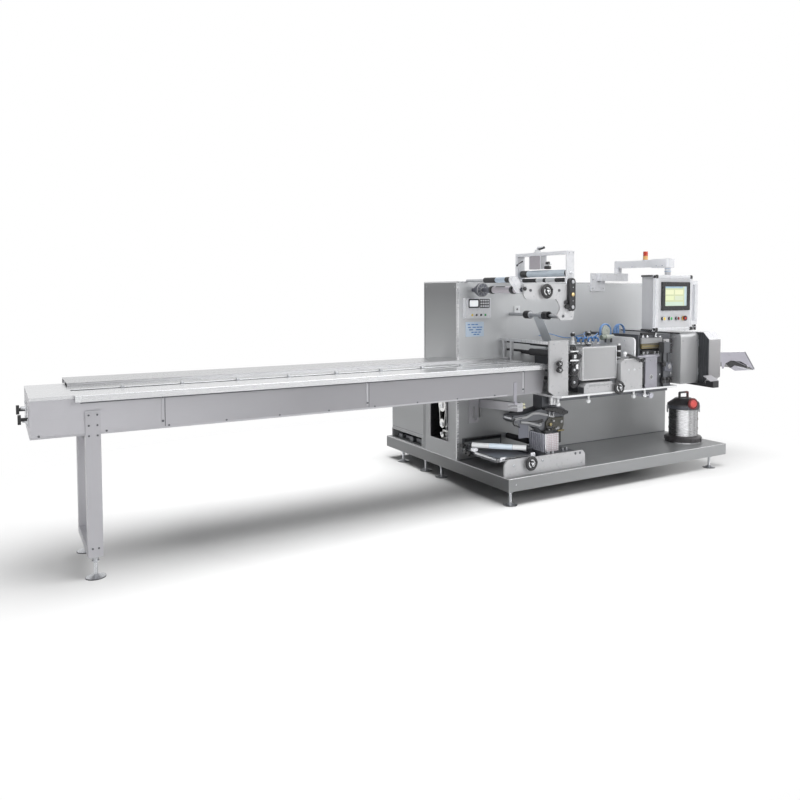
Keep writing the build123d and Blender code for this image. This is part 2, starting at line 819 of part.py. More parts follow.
with BuildPart() as seal_side_plate:
    cross_plate([(plate_front, box_high + edge_round), (plate_step, box_high + edge_round),
                 (plate_step, deck_top), (plate_front + seal_plate_depth, deck_top),
                 (plate_front + seal_plate_depth, seal_plate_top), (plate_front, seal_plate_top)],
                seal_plate_x, seal_plate_right)
    top_corner = seal_side_plate.edges().filter_by(Axis.X).group_by(Axis.Y)[0].sort_by(Axis.Z)[-1]
    fillet(top_corner, radius=seal_plate_round)
    for x_low, x_high in ((arch_x - hose_loop_radius - hose_foot / 2, seal_plate_x),
                          (seal_plate_right, arch_x + hose_loop_radius + hose_foot / 2)):
        block(x_low, x_high, hose_y - hose_foot / 2, hose_y + hose_spacing + hose_foot / 2,
              arch_low, arch_low + hose_foot)
adjuster_x = left + adjuster_place
adjuster_high = deck_top + adjuster_height
adjuster_right = adjuster_x + adjuster_width
with BuildPart() as seal_adjuster:
    front_plate([(adjuster_x, deck_top), (adjuster_right + adjuster_arm, deck_top),
                 (adjuster_right + adjuster_arm, adjuster_high - adjuster_slope),
                 (adjuster_right, adjuster_high - adjuster_slope / 2), (adjuster_right, adjuster_high),
                 (adjuster_x + adjuster_slope, adjuster_high), (adjuster_x, adjuster_high - adjuster_slope)],
                front + edge_round, front + edge_round + adjuster_depth)
with BuildPart() as deck_handwheel:
    handwheel(left + deck_wheel_place, deck_top + deck_wheel_rise, front + edge_round)

# Air hoses: pairs of arches, one over the seal plate and one on the beam
beam_x = left + beam_place
beam_low = deck_top + beam_rise
beam_high = beam_low + beam_height
arch_places = ((arch_x, arch_low + hose_foot, seal_plate_top + hose_loop_radius * 0.7),
               (beam_x + hose_loop_radius + hose_radius, beam_high, beam_high + hose_foot))
with BuildPart() as air_hoses:
    for arch_middle, arch_foot, arch_spring in arch_places:
        for pair in range(2):
            arch_y = hose_y + pair * hose_spacing
            with BuildLine() as route:
                Line((arch_middle - hose_loop_radius, arch_y, arch_foot),
                     (arch_middle - hose_loop_radius, arch_y, arch_spring))
                ThreePointArc((arch_middle - hose_loop_radius, arch_y, arch_spring),
                              (arch_middle, arch_y, arch_spring + hose_loop_radius),
                              (arch_middle + hose_loop_radius, arch_y, arch_spring))
                Line((arch_middle + hose_loop_radius, arch_y, arch_spring),
                     (arch_middle + hose_loop_radius, arch_y, arch_foot))
            with BuildSketch(Plane.XY.offset(arch_foot)) as bore:
                with Locations((arch_middle - hose_loop_radius, arch_y)):
                    Circle(hose_radius)
            sweep(bore.sketch, path=route.wires()[0])

# End seal station: a front box, a side plate, the drive block, the beam and the jaws
box_x = left + end_box_place
box_right = box_x + end_box_width
end_plate_x = box_right + end_plate_gap
end_plate_right = end_plate_x + end_plate_width
end_plate_y = front + end_box_depth / 3
with BuildPart() as end_seal_box:
    front_plate([(box_x, deck_top), (box_right, deck_top), (box_right, box_high),
                 (box_x + end_box_chamfer, box_high), (box_x, box_high - end_box_chamfer)],
                front, front + end_box_depth)
with BuildPart() as end_seal_plate:
    block(end_plate_x, end_plate_right, end_plate_y, end_plate_y + end_plate_thickness, deck_top, box_high)
    rod_y(end_plate_y, end_plate_y + end_plate_thickness, (end_plate_x + end_plate_right) / 2,
          deck_top + end_plate_hole_rise, end_plate_hole, mode=Mode.SUBTRACT)
    rod_x(box_right - end_plate_gap / 2, end_plate_right + end_box_chamfer,
          end_plate_y + end_plate_thickness / 2, box_high + end_rod_radius, end_rod_radius)
frame_front = front + end_box_depth
jaw_x = left + jaw_place
jaw_z = deck_top + jaw_rise
beam_right = beam_x + beam_length
with BuildPart() as end_seal_frame:
    block(beam_x, beam_right, frame_front, wall_y, beam_low, beam_high)
    for post_x in (beam_x, beam_right - beam_leg):
        block(post_x, post_x + beam_leg, frame_front, frame_front + beam_leg * 2, deck_top, beam_low)
    block(beam_x, beam_right, frame_front, frame_front + beam_leg * 2, deck_top, deck_top + beam_leg * 2)
    block(end_plate_right, end_plate_right + drive_block_width, end_plate_y, frame_front,
          deck_top, deck_top + end_box_height * 0.8)
    rod_y(end_plate_y - edge_round, end_plate_y, end_plate_right + drive_block_width * 0.6,
          deck_top + end_box_height * 0.45, drive_block_width * 0.22)
with BuildPart() as end_seal_jaws:
    for side in (-1, 1):
        rod_y(front + jaw_radius * 2, wall_y, jaw_x, jaw_z + side * (jaw_radius + seat_gap), jaw_radius)
    block(jaw_x - jaw_block_width / 2, jaw_x + jaw_block_width / 2, front - jaw_radius,
          front + jaw_radius * 2, jaw_z - jaw_block_height / 2, jaw_z + jaw_block_height / 2)
    block(jaw_x - jaw_radius, jaw_x + jaw_radius, front + seat_gap, end_plate_y - edge_round * 1.5,
          deck_top, jaw_z)
with BuildPart() as clamp_lever:
    pivot_x = box_right - end_box_chamfer
    pivot_z = box_high - end_box_chamfer / 2
    rod_y(front - end_box_chamfer, front, pivot_x, pivot_z, end_box_chamfer / 2)
    front_plate([(pivot_x, pivot_z + edge_round), (pivot_x - edge_round, pivot_z - edge_round),
                 (pivot_x - lever_length, pivot_z + lever_rise - edge_round),
                 (pivot_x - lever_length, pivot_z + lever_rise + edge_round)],
                front - end_box_chamfer, front - end_box_chamfer / 2)

# Cutter covers: the far one stands further out and has chamfered edges
cutter_x = deck_right + cutter_gap
cutter_right = cutter_x + cutter_width
outfeed_right = cutter_right + outfeed_width
cutter_low = deck_top + cutter_lift
cutter_high = cutter_low + cutter_height
reach_y = front - outfeed_reach
with BuildPart() as cutter_cover:
    cross_plate([(front, cutter_low), (wall_y, cutter_low), (wall_y, cutter_high), (front, cutter_high)],
                cutter_x, cutter_right)
    fillet(cutter_cover.edges().filter_by(Axis.X).group_by(Axis.Y)[0].sort_by(Axis.Z)[-1],
           radius=cutter_round)
with BuildPart() as outfeed_cover:
    cross_plate([(reach_y, cutter_low + outfeed_chamfer), (reach_y + outfeed_chamfer, cutter_low),
                 (wall_y, cutter_low), (wall_y, cutter_high), (reach_y + outfeed_chamfer, cutter_high),
                 (reach_y, cutter_high - outfeed_chamfer)],
                cutter_right, outfeed_right)
base_x = cutter_x + cutter_base_inset
base_y = front - cutter_base_reach
base_low = cutter_low - cutter_base_thickness
tray_y = reach_y - tray_reach
with BuildPart() as cutter_base:
    block(base_x, base_x + cutter_base_width, base_y, wall_y, base_low, cutter_low)
    fillet(cutter_base.edges().filter_by(Axis.Z).group_by(Axis.Y)[0], radius=cutter_base_thickness)
    block(cutter_right, outfeed_right - tray_sheet, tray_y, tray_y + tray_sheet, base_low,
          cutter_low + tray_height)
    block(cutter_right, outfeed_right - tray_sheet, tray_y, reach_y + outfeed_chamfer,
          base_low, base_low + tray_sheet)

# Discharge chute: a folded channel with an arched near side that falls away from the outfeed
chute_y = front + chute_front
chute_high = cutter_high - chute_drop
chute_x = outfeed_right
chute_end = chute_x + chute_tip
chute_low = chute_high - chute_fall
with BuildPart() as discharge_chute:
    arch_left = chute_x + chute_length * 0.55
    side = [(chute_x, chute_high - chute_flat_depth), (chute_x, chute_high),
            (chute_x + chute_length, chute_high - chute_flat_depth / 5), (chute_end, chute_low),
            (chute_end - chute_flat_depth * 0.7, chute_low - edge_round),
            (arch_left + chute_flat_depth, chute_high - chute_flat_depth * 1.45),
            (arch_left + chute_flat_depth * 0.2, chute_high - chute_flat_depth * 0.9),
            (arch_left - chute_flat_depth * 0.1, chute_high - chute_flat_depth * 1.5),
            (arch_left - chute_flat_depth * 0.3, chute_high - chute_flat_depth * 1.5),
            (arch_left - chute_flat_depth * 0.3, chute_high - chute_flat_depth)]
    for side_y in (chute_y, chute_y + chute_width - chute_sheet):
        front_plate(side, side_y, side_y + chute_sheet)
    front_plate([(chute_x, chute_high - chute_flat_depth * 0.8),
                 (chute_x, chute_high - chute_flat_depth * 0.8 + chute_sheet),
                 (chute_x + chute_length * 0.7, chute_high - chute_flat_depth * 0.8 + chute_sheet),
                 (chute_end - chute_sheet, chute_low + chute_sheet), (chute_end - chute_sheet, chute_low),
                 (chute_x + chute_length * 0.7, chute_high - chute_flat_depth * 0.8)],
                chute_y + chute_sheet, chute_y + chute_width - chute_sheet)

# Upper film unit: a side plate with a bent arm, carried by shafts from the wall
film_x = left + film_plate_place
film_right = film_x + film_plate_width
film_y = front + film_plate_front
film_back = film_y + film_plate_thickness
film_low = film_high - film_plate_height
arm_low_z = film_low - film_arm_drop
arm_right_x = film_right + film_arm_reach
arm_left_x = arm_right_x - film_arm_width
with BuildPart() as film_side_plate:
    with BuildSketch(Plane.XZ.offset(-film_back)) as outline:
        with BuildLine():
            Polyline((arm_left_x - film_plate_height * 0.4, film_low), (film_x, film_low),
                     (film_x, film_high), (film_right, film_high),
                     (arm_right_x, film_high - film_plate_height * 0.6), (arm_right_x, arm_low_z),
                     (arm_left_x, arm_low_z), (arm_left_x - film_plate_round, arm_low_z + film_plate_round),
                     (arm_left_x, film_low - film_plate_height * 0.6), close=True)
        make_face()
        low_left = outline.vertices().sort_by(Axis.X)[0:2].sort_by(Axis.Y)[0]
        fillet(low_left, radius=film_plate_round)
        bend = outline.vertices().sort_by_distance((arm_left_x, film_low - film_plate_height * 0.6))[0]
        fillet(bend, radius=film_plate_round)
        low_right = outline.vertices().sort_by_distance((arm_right_x, arm_low_z))[0]
        fillet(low_right, radius=film_plate_round * 0.7)
    extrude(outline.sketch, amount=film_plate_thickness)
web_x = left + web_shaft_place
web_z = film_high - web_shaft_drop
tension_x = left + tension_place
tension_z = film_high + tension_rise
portal_x = left + portal_place
idler_x = left + idler_place
with BuildPart() as guide_rollers:
    rod_y(film_back, wall_y, web_x, web_z, web_shaft_radius)
    for collar_front in (web_row - web_collar_gap - web_collar_length, web_row + web_width + web_collar_gap):
        rod_y(front + collar_front, front + collar_front + web_collar_length, web_x, web_z,
              web_collar_radius)
    rod_y(film_back + tension_radius * 3, wall_y, tension_x, tension_z, tension_radius * 0.6)
    rod_y(film_back + tension_radius * 3, film_back + tension_radius * 21, tension_x, tension_z,
          tension_radius)
    rod_y(film_back, wall_y, portal_x - portal_width, film_high - film_plate_height / 2, web_shaft_radius)
    rod_y(film_back, wall_y, film_x + film_plate_width * 0.4, film_high - film_plate_height / 2,
          web_shaft_radius)
    rod_y(front + swing_rows[0] + swing_thickness, front + swing_rows[1],
          left + swing_pivot_place - swing_reach + swing_tip / 2,
          platform_top + block_rise + (deck_low - swing_gap - platform_top - block_rise) * 0.64,
          swing_roller_radius)
    rod_y(wall_y - idler_length, wall_y, idler_x, platform_top + idler_rise, idler_radius)
reel_x = left + reel_place
reel_z = film_high - reel_drop
reel_y = film_back + edge_round
with BuildPart() as film_reel:
    rod_y(reel_y, wall_y - seat_gap, reel_x, reel_z, reel_radius * 0.6)
    rod_y(reel_y + collar_width * 2, wall_y - reel_flange_radius * 4, reel_x, reel_z, reel_radius * 0.9)
    for collar_y in (reel_y + collar_width * 4, reel_y + collar_width * 16):
        collar(collar_y, reel_x, reel_z, collar_radius)
    rod_y(wall_y - reel_flange_radius * 2.4, wall_y - reel_flange_radius, reel_x, reel_z, reel_flange_radius)
portal_half = portal_width / 2
portal_high = film_high + portal_rise
far_post = wall_y - portal_wall_gap - portal_post
with BuildPart() as film_portal:
    block(portal_x - portal_half, portal_x + portal_half, film_y, film_back, film_high, portal_high)
    block(portal_x - portal_half, portal_x + portal_half, far_post, far_post + portal_post,
          film_high, portal_high)
    block(portal_x - portal_half, portal_x + portal_half, film_y, far_post + portal_post,
          portal_high - portal_bar, portal_high)
    block(portal_x - portal_half, portal_x + portal_half, far_post, wall_y,
          film_high - portal_bar, film_high)
    rod_y(film_back, far_post, portal_x, film_high + guide_roller_rise, guide_roller_radius)
clamp_y = front + clamp_block_row
clamp_low = portal_high - portal_bar - clamp_block_width * 1.85
with BuildPart() as portal_adjuster:
    block(portal_x - clamp_block_width / 2, portal_x + clamp_block_width / 2, clamp_y,
          clamp_y + clamp_block_depth, clamp_low, portal_high - portal_bar)
    rod_z(portal_high, portal_high + clamp_lift, portal_x, clamp_y + clamp_block_depth / 2,
          clamp_knob_radius * 0.35)
    rod_y(clamp_y, clamp_y + clamp_block_depth / 2, portal_x, portal_high + clamp_lift,
          clamp_knob_radius * 0.35)
    rod_z(clamp_low, clamp_low + clamp_knob_radius, portal_x, clamp_y - clamp_knob_radius * 2,
          clamp_knob_radius)
    rod_z(clamp_low + clamp_knob_radius, clamp_low + clamp_knob_radius * 2.4, portal_x,
          clamp_y - clamp_knob_radius * 2, clamp_knob_radius * 0.6)
    block(portal_x - clamp_knob_radius / 2, portal_x + clamp_knob_radius / 2,
          clamp_y - clamp_knob_radius * 2, clamp_y, clamp_low, clamp_low + clamp_knob_radius / 2)
with BuildPart() as film_roll:
    rod_y(film_back + seat_gap, far_post - seat_gap, portal_x, film_high + film_roll_rise,
          film_roll_radius * 0.5)
    rod_y(film_back + film_roll_radius / 3, far_post - film_roll_radius / 2, portal_x,
          film_high + film_roll_rise, film_roll_radius)
with BuildPart() as upper_handwheel:
    handwheel(left + upper_wheel_place, film_high - upper_wheel_drop, film_y)
guard_x = left + guard_place
guard_low = film_high - guard_drop
with BuildPart() as belt_guard:
    with BuildSketch(Plane.XZ.offset(-film_y)) as guard:
        with Locations((guard_x, guard_low + guard_length / 2)):
            SlotCenterToCenter(guard_length - guard_radius * 2, guard_radius * 2, rotation=90)
    extrude(guard.sketch, amount=guard_thickness)
    for hub_rise in (guard_radius, guard_length / 2, guard_length - guard_radius):
        rod_y(film_y - guard_thickness * 1.3, film_y - guard_thickness, guard_x, guard_low + hub_rise,
              guard_hub)
with BuildPart() as film_web:
    web_edge = web_x + web_shaft_radius
    web_foot = roller_x + seal_roller_radius
    web_low = deck_top + seal_roller_rises[-1]
    front_plate([(web_edge, web_z), (web_edge + web_thickness, web_z), (web_foot + web_thickness, web_low),
                 (web_foot, web_low)], front + web_row, front + web_row + web_width)

# Lower film unit on the platform
slide_y = front + slide_front
slide_back = slide_y + slide_thickness
slide_top = platform_top + slide_height
slide_right = left + slide_length
with BuildPart() as lower_slide_plate:
    front_plate([(left, platform_top), (slide_right, platform_top), (slide_right, slide_top - slide_step * 5),
                 (slide_right - slide_step * 4, slide_top - slide_step),
                 (left + slide_length * 0.36, slide_top - slide_step),
                 (left + slide_length * 0.34, slide_top),
                 (left + slide_step * 4, slide_top), (left, slide_top - slide_step * 5)],
                slide_y, slide_back)
carriage_x = left + carriage_place
block_x = left + block_place
block_y = front + block_front
block_high = platform_top + block_rise
with BuildPart() as lower_carriage:
    block(carriage_x, carriage_x + carriage_width, slide_back, slide_back + carriage_depth,
          platform_top, slide_top - slide_step * 2)
    block(block_x, block_x + block_width, block_y, block_y + block_depth,
          slide_top - slide_step * 2, block_high)
    fillet(lower_carriage.edges().filter_by(Axis.Z).group_by(Axis.Z)[-1], radius=edge_round)
pivot_place = left + swing_pivot_place
swing_high = deck_low - swing_gap
swing_span = swing_high - block_high
swing_left = pivot_place - swing_reach
swing_right = pivot_place + swing_run
swing_outline = [(swing_left, block_high + swing_span * 0.57),
                 (swing_left + swing_tip / 4, block_high + swing_span * 0.74),
                 (swing_left + swing_reach * 0.31, block_high + swing_span * 0.74),
                 (pivot_place - swing_reach * 0.22, block_high + swing_span * 0.91),
                 (pivot_place + swing_run * 0.44, swing_high),
                 (swing_right - swing_tip / 4, block_high + swing_span * 0.79),
                 (swing_right, block_high + swing_span * 0.67),
                 (swing_right - swing_tip * 0.6, block_high + swing_span * 0.53),
                 (swing_right - swing_tip, block_high + swing_span * 0.16),
                 (pivot_place + swing_run * 0.32, block_high),
                 (pivot_place - swing_run * 0.43, block_high),
                 (pivot_place - swing_reach * 0.35, block_high + swing_span * 0.22),
                 (swing_left + swing_tip, block_high + swing_span * 0.46)]
swing_y = front + swing_rows[0]
swing_back = front + swing_rows[1] + swing_thickness
with BuildPart() as swing_arms:
    for row in swing_rows:
        with BuildSketch(Plane.XZ.offset(-(front + row + swing_thickness))) as arm:
            with BuildLine():
                Polyline(*swing_outline, close=True)
            make_face()
            fillet(arm.vertices(), radius=swing_round)
        extrude(arm.sketch, amount=swing_thickness)
    block(pivot_place - swing_body_width * 0.4, pivot_place + swing_body_width * 0.4,
          swing_y + swing_thickness, swing_back - swing_thickness,
          block_high, block_high + swing_span * 0.45)
    block(pivot_place - swing_hanger_width * 0.6, pivot_place + swing_hanger_width * 0.4,
          swing_y + swing_thickness, swing_back, block_high + swing_span * 0.45, deck_low)
    rod_y(swing_y, wall_y, pivot_place, block_high + swing_span * 0.35, swing_thickness)
turning_x = left + turning_place
turning_right = turning_x + turning_length
turning_y = front + turning_front
turning_low = platform_top + turning_rise
turning_high = turning_low + turning_bar
with BuildPart() as turning_frame:
    for rail_place in (turning_x, turning_right - turning_bar):
        block(rail_place, rail_place + turning_bar, turning_y, wall_y, turning_low, turning_high)
    block(turning_x, turning_right, turning_y, turning_y + turning_bar, turning_low, turning_high)
    block(turning_x, turning_right, wall_y - turning_bar / 2, wall_y,
          turning_low, turning_low + turning_back_height)
    bar_z = turning_high + diagonal_lift + diagonal_radius
    near = Vector(turning_right - turning_bar / 2, turning_y + turning_bar * 2, bar_z)
    far = Vector(turning_x + turning_bar, wall_y - turning_bar * 2, bar_z)
    with BuildSketch(Plane(origin=near, x_dir=(0, 0, 1), z_dir=far - near)) as bar:
        Circle(diagonal_radius)
    extrude(bar.sketch, amount=(far - near).length)
    for end in (near, far):
        block(end.X - turning_bar / 2, end.X + turning_bar / 2, end.Y - turning_bar / 2,
              end.Y + turning_bar / 2, turning_high, bar_z)
support_x = left + support_place
support_low = platform_top + support_rise
bracket_x = left + wall_bracket_place
with BuildPart() as support_beam:
    cross_plate([(front + support_front, support_low), (wall_y, support_low - support_fall),
                 (wall_y, support_low + support_height - support_fall),
                 (front + support_front, support_low + support_height)],
                support_x, support_x + support_width)
    block(bracket_x, bracket_x + wall_bracket_width, wall_y - edge_round, wall_y,
          support_low - wall_bracket_height * 0.7, support_low + wall_bracket_height * 0.3)
    rod_y(wall_y - edge_round * 6, wall_y - edge_round, bracket_x + wall_bracket_width * 0.6,
          support_low - wall_bracket_height * 0.55, edge_round * 1.5)
with BuildPart() as lower_handwheel:
    handwheel(left + lower_wheel_place, platform_top + lower_wheel_rise, slide_y)

# Arm and operator panel
arm_x = left + arm_place
pivot_y = front + arm_pivot_front
neck_y = front + neck_front
panel_x = left + panel_place
panel_right = panel_x + panel_width
panel_low = cutter_high + panel_gap
panel_high = panel_low + panel_height
arm_low = panel_high + neck_length + edge_round
arm_high = arm_low + arm_height
link_high = arm_low - arm_pivot_height
link_low = link_high - arm_link_height
with BuildPart() as arm_bracket:
    block(arm_x - arm_link_reach, arm_x + arm_width * 1.4, pivot_y - arm_width / 2, pivot_y + arm_width / 2,
          link_low, link_high)
    block(arm_x - arm_link_reach - arm_width, arm_x - arm_link_reach + arm_width * 1.5,
          wall_y - arm_plate_thickness, wall_y, cabinet_top - arm_plate_lap, link_high)
    rod_z(link_high, arm_low - seat_gap, arm_x, pivot_y, arm_width / 2)
profile = profile_size
with BuildPart() as panel_arm:
    block(arm_x - arm_width / 2, arm_x + arm_width / 2, front + arm_width, pivot_y, arm_low, arm_high)
    rod_z(arm_low, arm_high, arm_x, pivot_y, arm_width / 2)
    block(arm_x - arm_head_width / 2, arm_x + arm_head_width / 2, neck_y - arm_head_width / 2,
          neck_y - arm_head_width / 2 + arm_head_length, arm_low - edge_round, arm_high + edge_round / 2)
    fillet(panel_arm.edges().filter_by(Axis.Z).group_by(Axis.Y)[0], radius=arm_head_width * 0.3)
    rod_z(panel_high + neck_length * 0.4, arm_low - edge_round, arm_x, neck_y, neck_radius)
with BuildPart() as beacon_lamp:
    rod_z(arm_high, arm_high + beacon_height / 2, arm_x, front + beacon_front, beacon_radius)
    rod_z(arm_high + beacon_height / 2, arm_high + beacon_height, arm_x, front + beacon_front,
          beacon_radius * 0.92)
with BuildPart() as operator_panel:
    block(panel_x + profile / 2, panel_right - profile / 2, front + profile / 4, front + panel_depth,
          panel_low + profile / 2, panel_high - profile / 2)
    rod_z(panel_high - profile / 2, panel_high + neck_length * 0.4 - seat_gap, arm_x, neck_y, neck_radius)
with BuildPart() as panel_frame:
    for edge_z in (panel_low, panel_high - profile):
        block(panel_x, panel_right, front, front + profile, edge_z, edge_z + profile)
    for edge_x in (panel_x, panel_right - profile):
        block(edge_x, edge_x + profile, front, front + profile, panel_low, panel_high)
    fillet(panel_frame.edges().filter_by(Axis.X).group_by(Axis.Y)[0], radius=profile / 3)
    block(panel_x + profile / 2, panel_right - profile / 2, front + profile / 4, front + profile,
          panel_low + profile / 2, panel_high - profile / 2, mode=Mode.SUBTRACT)
    for edge_z in (panel_low, panel_high - profile / 2):
        block(panel_x, panel_x + profile / 2, front + profile, front + panel_depth,
              edge_z, edge_z + profile / 2)
screen_x = panel_x + screen_inset
screen_high = panel_high - screen_margin
with BuildPart() as panel_screen:
    block(screen_x, screen_x + screen_width, front - screen_relief, front + profile / 4,
          screen_high - screen_height, screen_high)
    block(screen_x + bezel_width, screen_x + screen_width - bezel_width, front - screen_relief,
          front - screen_relief / 2, screen_high - screen_height + bezel_width,
          screen_high - bezel_width, mode=Mode.SUBTRACT)
button_step = screen_width / 4
with BuildPart() as panel_buttons:
    for button in range(3):
        rod_y(front - button_relief, front + profile / 4, screen_x + button_step * (button + 0.2),
              panel_low + button_rise, button_radius)
    rod_y(front - button_relief, front + profile / 4, screen_x + button_step * 3.2,
          panel_low + button_rise, button_radius)
    rod_y(front - button_relief * 2, front - button_relief, screen_x + button_step * 3.2,
          panel_low + button_rise, mushroom_radius)
handle_y = front + profile
handle_out = panel_right + handle_reach
handle_low = panel_low + handle_drop
handle_high = panel_high - handle_drop
with BuildPart() as panel_handle:
    for arm_z in (handle_low, handle_high - handle_grip):
        block(panel_right, handle_out, handle_y, handle_y + handle_grip, arm_z, arm_z + handle_grip)
    block(handle_out - handle_grip, handle_out, handle_y, handle_y + handle_grip, handle_low, handle_high)
    fillet(panel_handle.edges().filter_by(Axis.Y).group_by(Axis.X)[-1], radius=handle_grip / 3)

# Waste collector: a foot ring, a drum and a head with a handle and a latch
waste_x = right - collector_inset
waste_y = front + collector_front
drum_low = platform_top + collector_base_height
head_low = drum_low + collector_drum_height
head_high = head_low + collector_head_height
with BuildPart() as collector_drum:
    rod_z(platform_top, drum_low, waste_x, waste_y, collector_base_radius)
    chamfer(collector_drum.edges().filter_by(GeomType.CIRCLE).group_by(Axis.Z)[-1],
            length=edge_round)
    rod_z(drum_low, head_low, waste_x, waste_y, collector_drum_radius)
with BuildPart() as collector_head:
    rod_z(head_low, head_high, waste_x, waste_y, collector_head_radius)
    chamfer(collector_head.edges().filter_by(GeomType.CIRCLE).group_by(Axis.Z)[-1],
            length=collector_head_height * 0.55, length2=collector_head_radius * 0.5)
    grip_low = head_high - edge_round
    grip_high = head_high + collector_handle_height
    with BuildSketch(Plane.XZ.offset(-(waste_y + collector_bar / 2))) as grip:
        with Locations((waste_x, (grip_low + grip_high) / 2)):
            RectangleRounded(collector_handle_span, grip_high - grip_low, collector_bar)
            RectangleRounded(collector_handle_span - collector_bar * 2,
                             grip_high - grip_low - collector_bar * 2, collector_bar / 3,
                             mode=Mode.SUBTRACT)
    extrude(grip.sketch, amount=collector_bar)
    rod_y(waste_y - collector_head_radius - edge_round, waste_y - collector_head_radius * 0.7, waste_x,
          head_low + latch_radius + seat_gap, latch_radius)

nodes = {
    "base_frame": base_frame, "levelling_feet": levelling_feet, "main_cabinet": main_cabinet,
    "rear_cabinet": rear_cabinet, "belt_drive": belt_drive, "control_box": control_box,
    "conveyor_trough": conveyor_trough, "tail_cover": tail_cover, "front_rail": front_rail,
    "rear_table": rear_table, "pusher_chain": pusher_chain, "chain_sprockets": chain_sprockets,
    "conveyor_leg": conveyor_leg, "tail_knobs": tail_knobs, "deck_plate": deck_plate,
    "infeed_side_plate": infeed_side_plate, "infeed_frame": infeed_frame,
    "infeed_rollers": infeed_rollers, "seal_cover": seal_cover, "seal_housing": seal_housing,
    "seal_knobs": seal_knobs, "seal_wheels": seal_wheels, "seal_side_plate": seal_side_plate,
    "seal_adjuster": seal_adjuster, "deck_handwheel": deck_handwheel, "air_hoses": air_hoses,
    "end_seal_box": end_seal_box, "end_seal_plate": end_seal_plate,
    "end_seal_frame": end_seal_frame, "end_seal_jaws": end_seal_jaws, "clamp_lever": clamp_lever,
    "cutter_cover": cutter_cover, "outfeed_cover": outfeed_cover, "cutter_base": cutter_base,
    "discharge_chute": discharge_chute, "film_side_plate": film_side_plate,
    "guide_rollers": guide_rollers, "film_reel": film_reel, "film_portal": film_portal,
    "portal_adjuster": portal_adjuster, "film_roll": film_roll, "upper_handwheel": upper_handwheel,
    "belt_guard": belt_guard, "film_web": film_web, "lower_slide_plate": lower_slide_plate,
    "lower_carriage": lower_carriage, "swing_arms": swing_arms, "turning_frame": turning_frame,
    "support_beam": support_beam, "lower_handwheel": lower_handwheel, "arm_bracket": arm_bracket,
    "panel_arm": panel_arm, "beacon_lamp": beacon_lamp, "operator_panel": operator_panel,
    "panel_frame": panel_frame, "panel_screen": panel_screen, "panel_buttons": panel_buttons,
    "panel_handle": panel_handle, "collector_drum": collector_drum,
    "collector_head": collector_head,
}
os.makedirs("parts", exist_ok=True)
for name, piece in nodes.items():
    piece.part.label = name
    export_step(piece.part, f"parts/{name}.step")
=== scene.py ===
import math
import bmesh
import bpy
import numpy as np
from bpy.props import FloatProperty, FloatVectorProperty, IntProperty, PointerProperty
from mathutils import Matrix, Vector


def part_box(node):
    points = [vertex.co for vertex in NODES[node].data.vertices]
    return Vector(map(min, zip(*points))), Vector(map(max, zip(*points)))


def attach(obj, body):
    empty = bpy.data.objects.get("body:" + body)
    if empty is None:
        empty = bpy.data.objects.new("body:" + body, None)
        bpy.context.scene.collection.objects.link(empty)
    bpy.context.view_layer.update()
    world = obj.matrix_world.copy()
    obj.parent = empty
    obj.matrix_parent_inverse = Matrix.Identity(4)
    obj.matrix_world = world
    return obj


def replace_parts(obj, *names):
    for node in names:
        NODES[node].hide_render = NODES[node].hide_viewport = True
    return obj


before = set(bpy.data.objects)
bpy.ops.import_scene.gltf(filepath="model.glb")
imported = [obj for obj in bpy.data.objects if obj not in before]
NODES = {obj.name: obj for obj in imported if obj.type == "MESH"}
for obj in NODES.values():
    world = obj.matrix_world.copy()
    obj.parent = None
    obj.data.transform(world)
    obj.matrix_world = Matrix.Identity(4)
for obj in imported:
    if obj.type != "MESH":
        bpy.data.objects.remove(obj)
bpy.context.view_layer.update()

bl_info = {
    "name": "Four side seal packing machine",
    "version": (1, 0, 0),
    "blender": (4, 5, 0),
    "location": "View3D > Sidebar > Packing machine",
    "description": "Surface finishes and fittings for a four side seal packing machine",
    "category": "Object",
}

MM = 0.001
WELD, SLIVER = 2e-6, 1e-7  # metres: points this close become one, and edges this short go
X, Y, Z = np.eye(3)
FACING = {
    "front": (X, Z, -Y), "back": (-X, Z, Y), "left": (-Y, Z, -X), "right": (Y, Z, X),
    "top": (X, Y, Z), "under": (X, -Y, -Z),
}


# Places on the CAD nodes

def spot(node, across, back, up, shift=(0, 0, 0)):
    """A point in a node's box, by the share of its width, depth and height, moved on by millimetres."""
    low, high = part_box(node)
    share = np.array((across, back, up), float)
    return np.array(low) + share * (np.array(high) - np.array(low)) + np.array(shift, float) * MM


def directions(facing):
    """Right, up and outward directions of a facing, or of any outward direction given as three numbers."""
    if isinstance(facing, str):
        return FACING[facing]
    w = np.array(facing, float) / np.linalg.norm(facing)
    u = X if abs(w[0]) < 0.9 else Y
    u = u - w * (u @ w)
    u = u / np.linalg.norm(u)
    return u, np.cross(w, u), w


# Surfaces as grids of points. A shape is its points and a list of face index arrays.

def grid_faces(rows, columns, wrap_rows=False, wrap_columns=True):
    """Quads between neighbouring rows and columns; a wrapped direction joins its last line to its first."""
    i, j = np.meshgrid(np.arange(rows if wrap_rows else rows - 1),
        np.arange(columns if wrap_columns else columns - 1), indexing="ij")
    k, m = (i + 1) % rows, (j + 1) % columns
    return np.stack((i * columns + j, i * columns + m, k * columns + m, k * columns + j), -1).reshape(-1, 4)


def shut(profile, flags):
    """The profile with no loose end: one runs on to the axis, two join each other.
    The new point has no flag."""
    p, flags = [tuple(point) for point in profile], list(flags)
    first, last = p[0][0] > 0, p[-1][0] > 0
    if first and last and p[0] != p[-1]:
        return p + [p[0]], flags + flags[:1]
    if first and not last:
        return [(0, p[0][1])] + p, [False] + flags
    if last and not first:
        return p + [(0, p[-1][1])], flags + [False]
    return p, flags


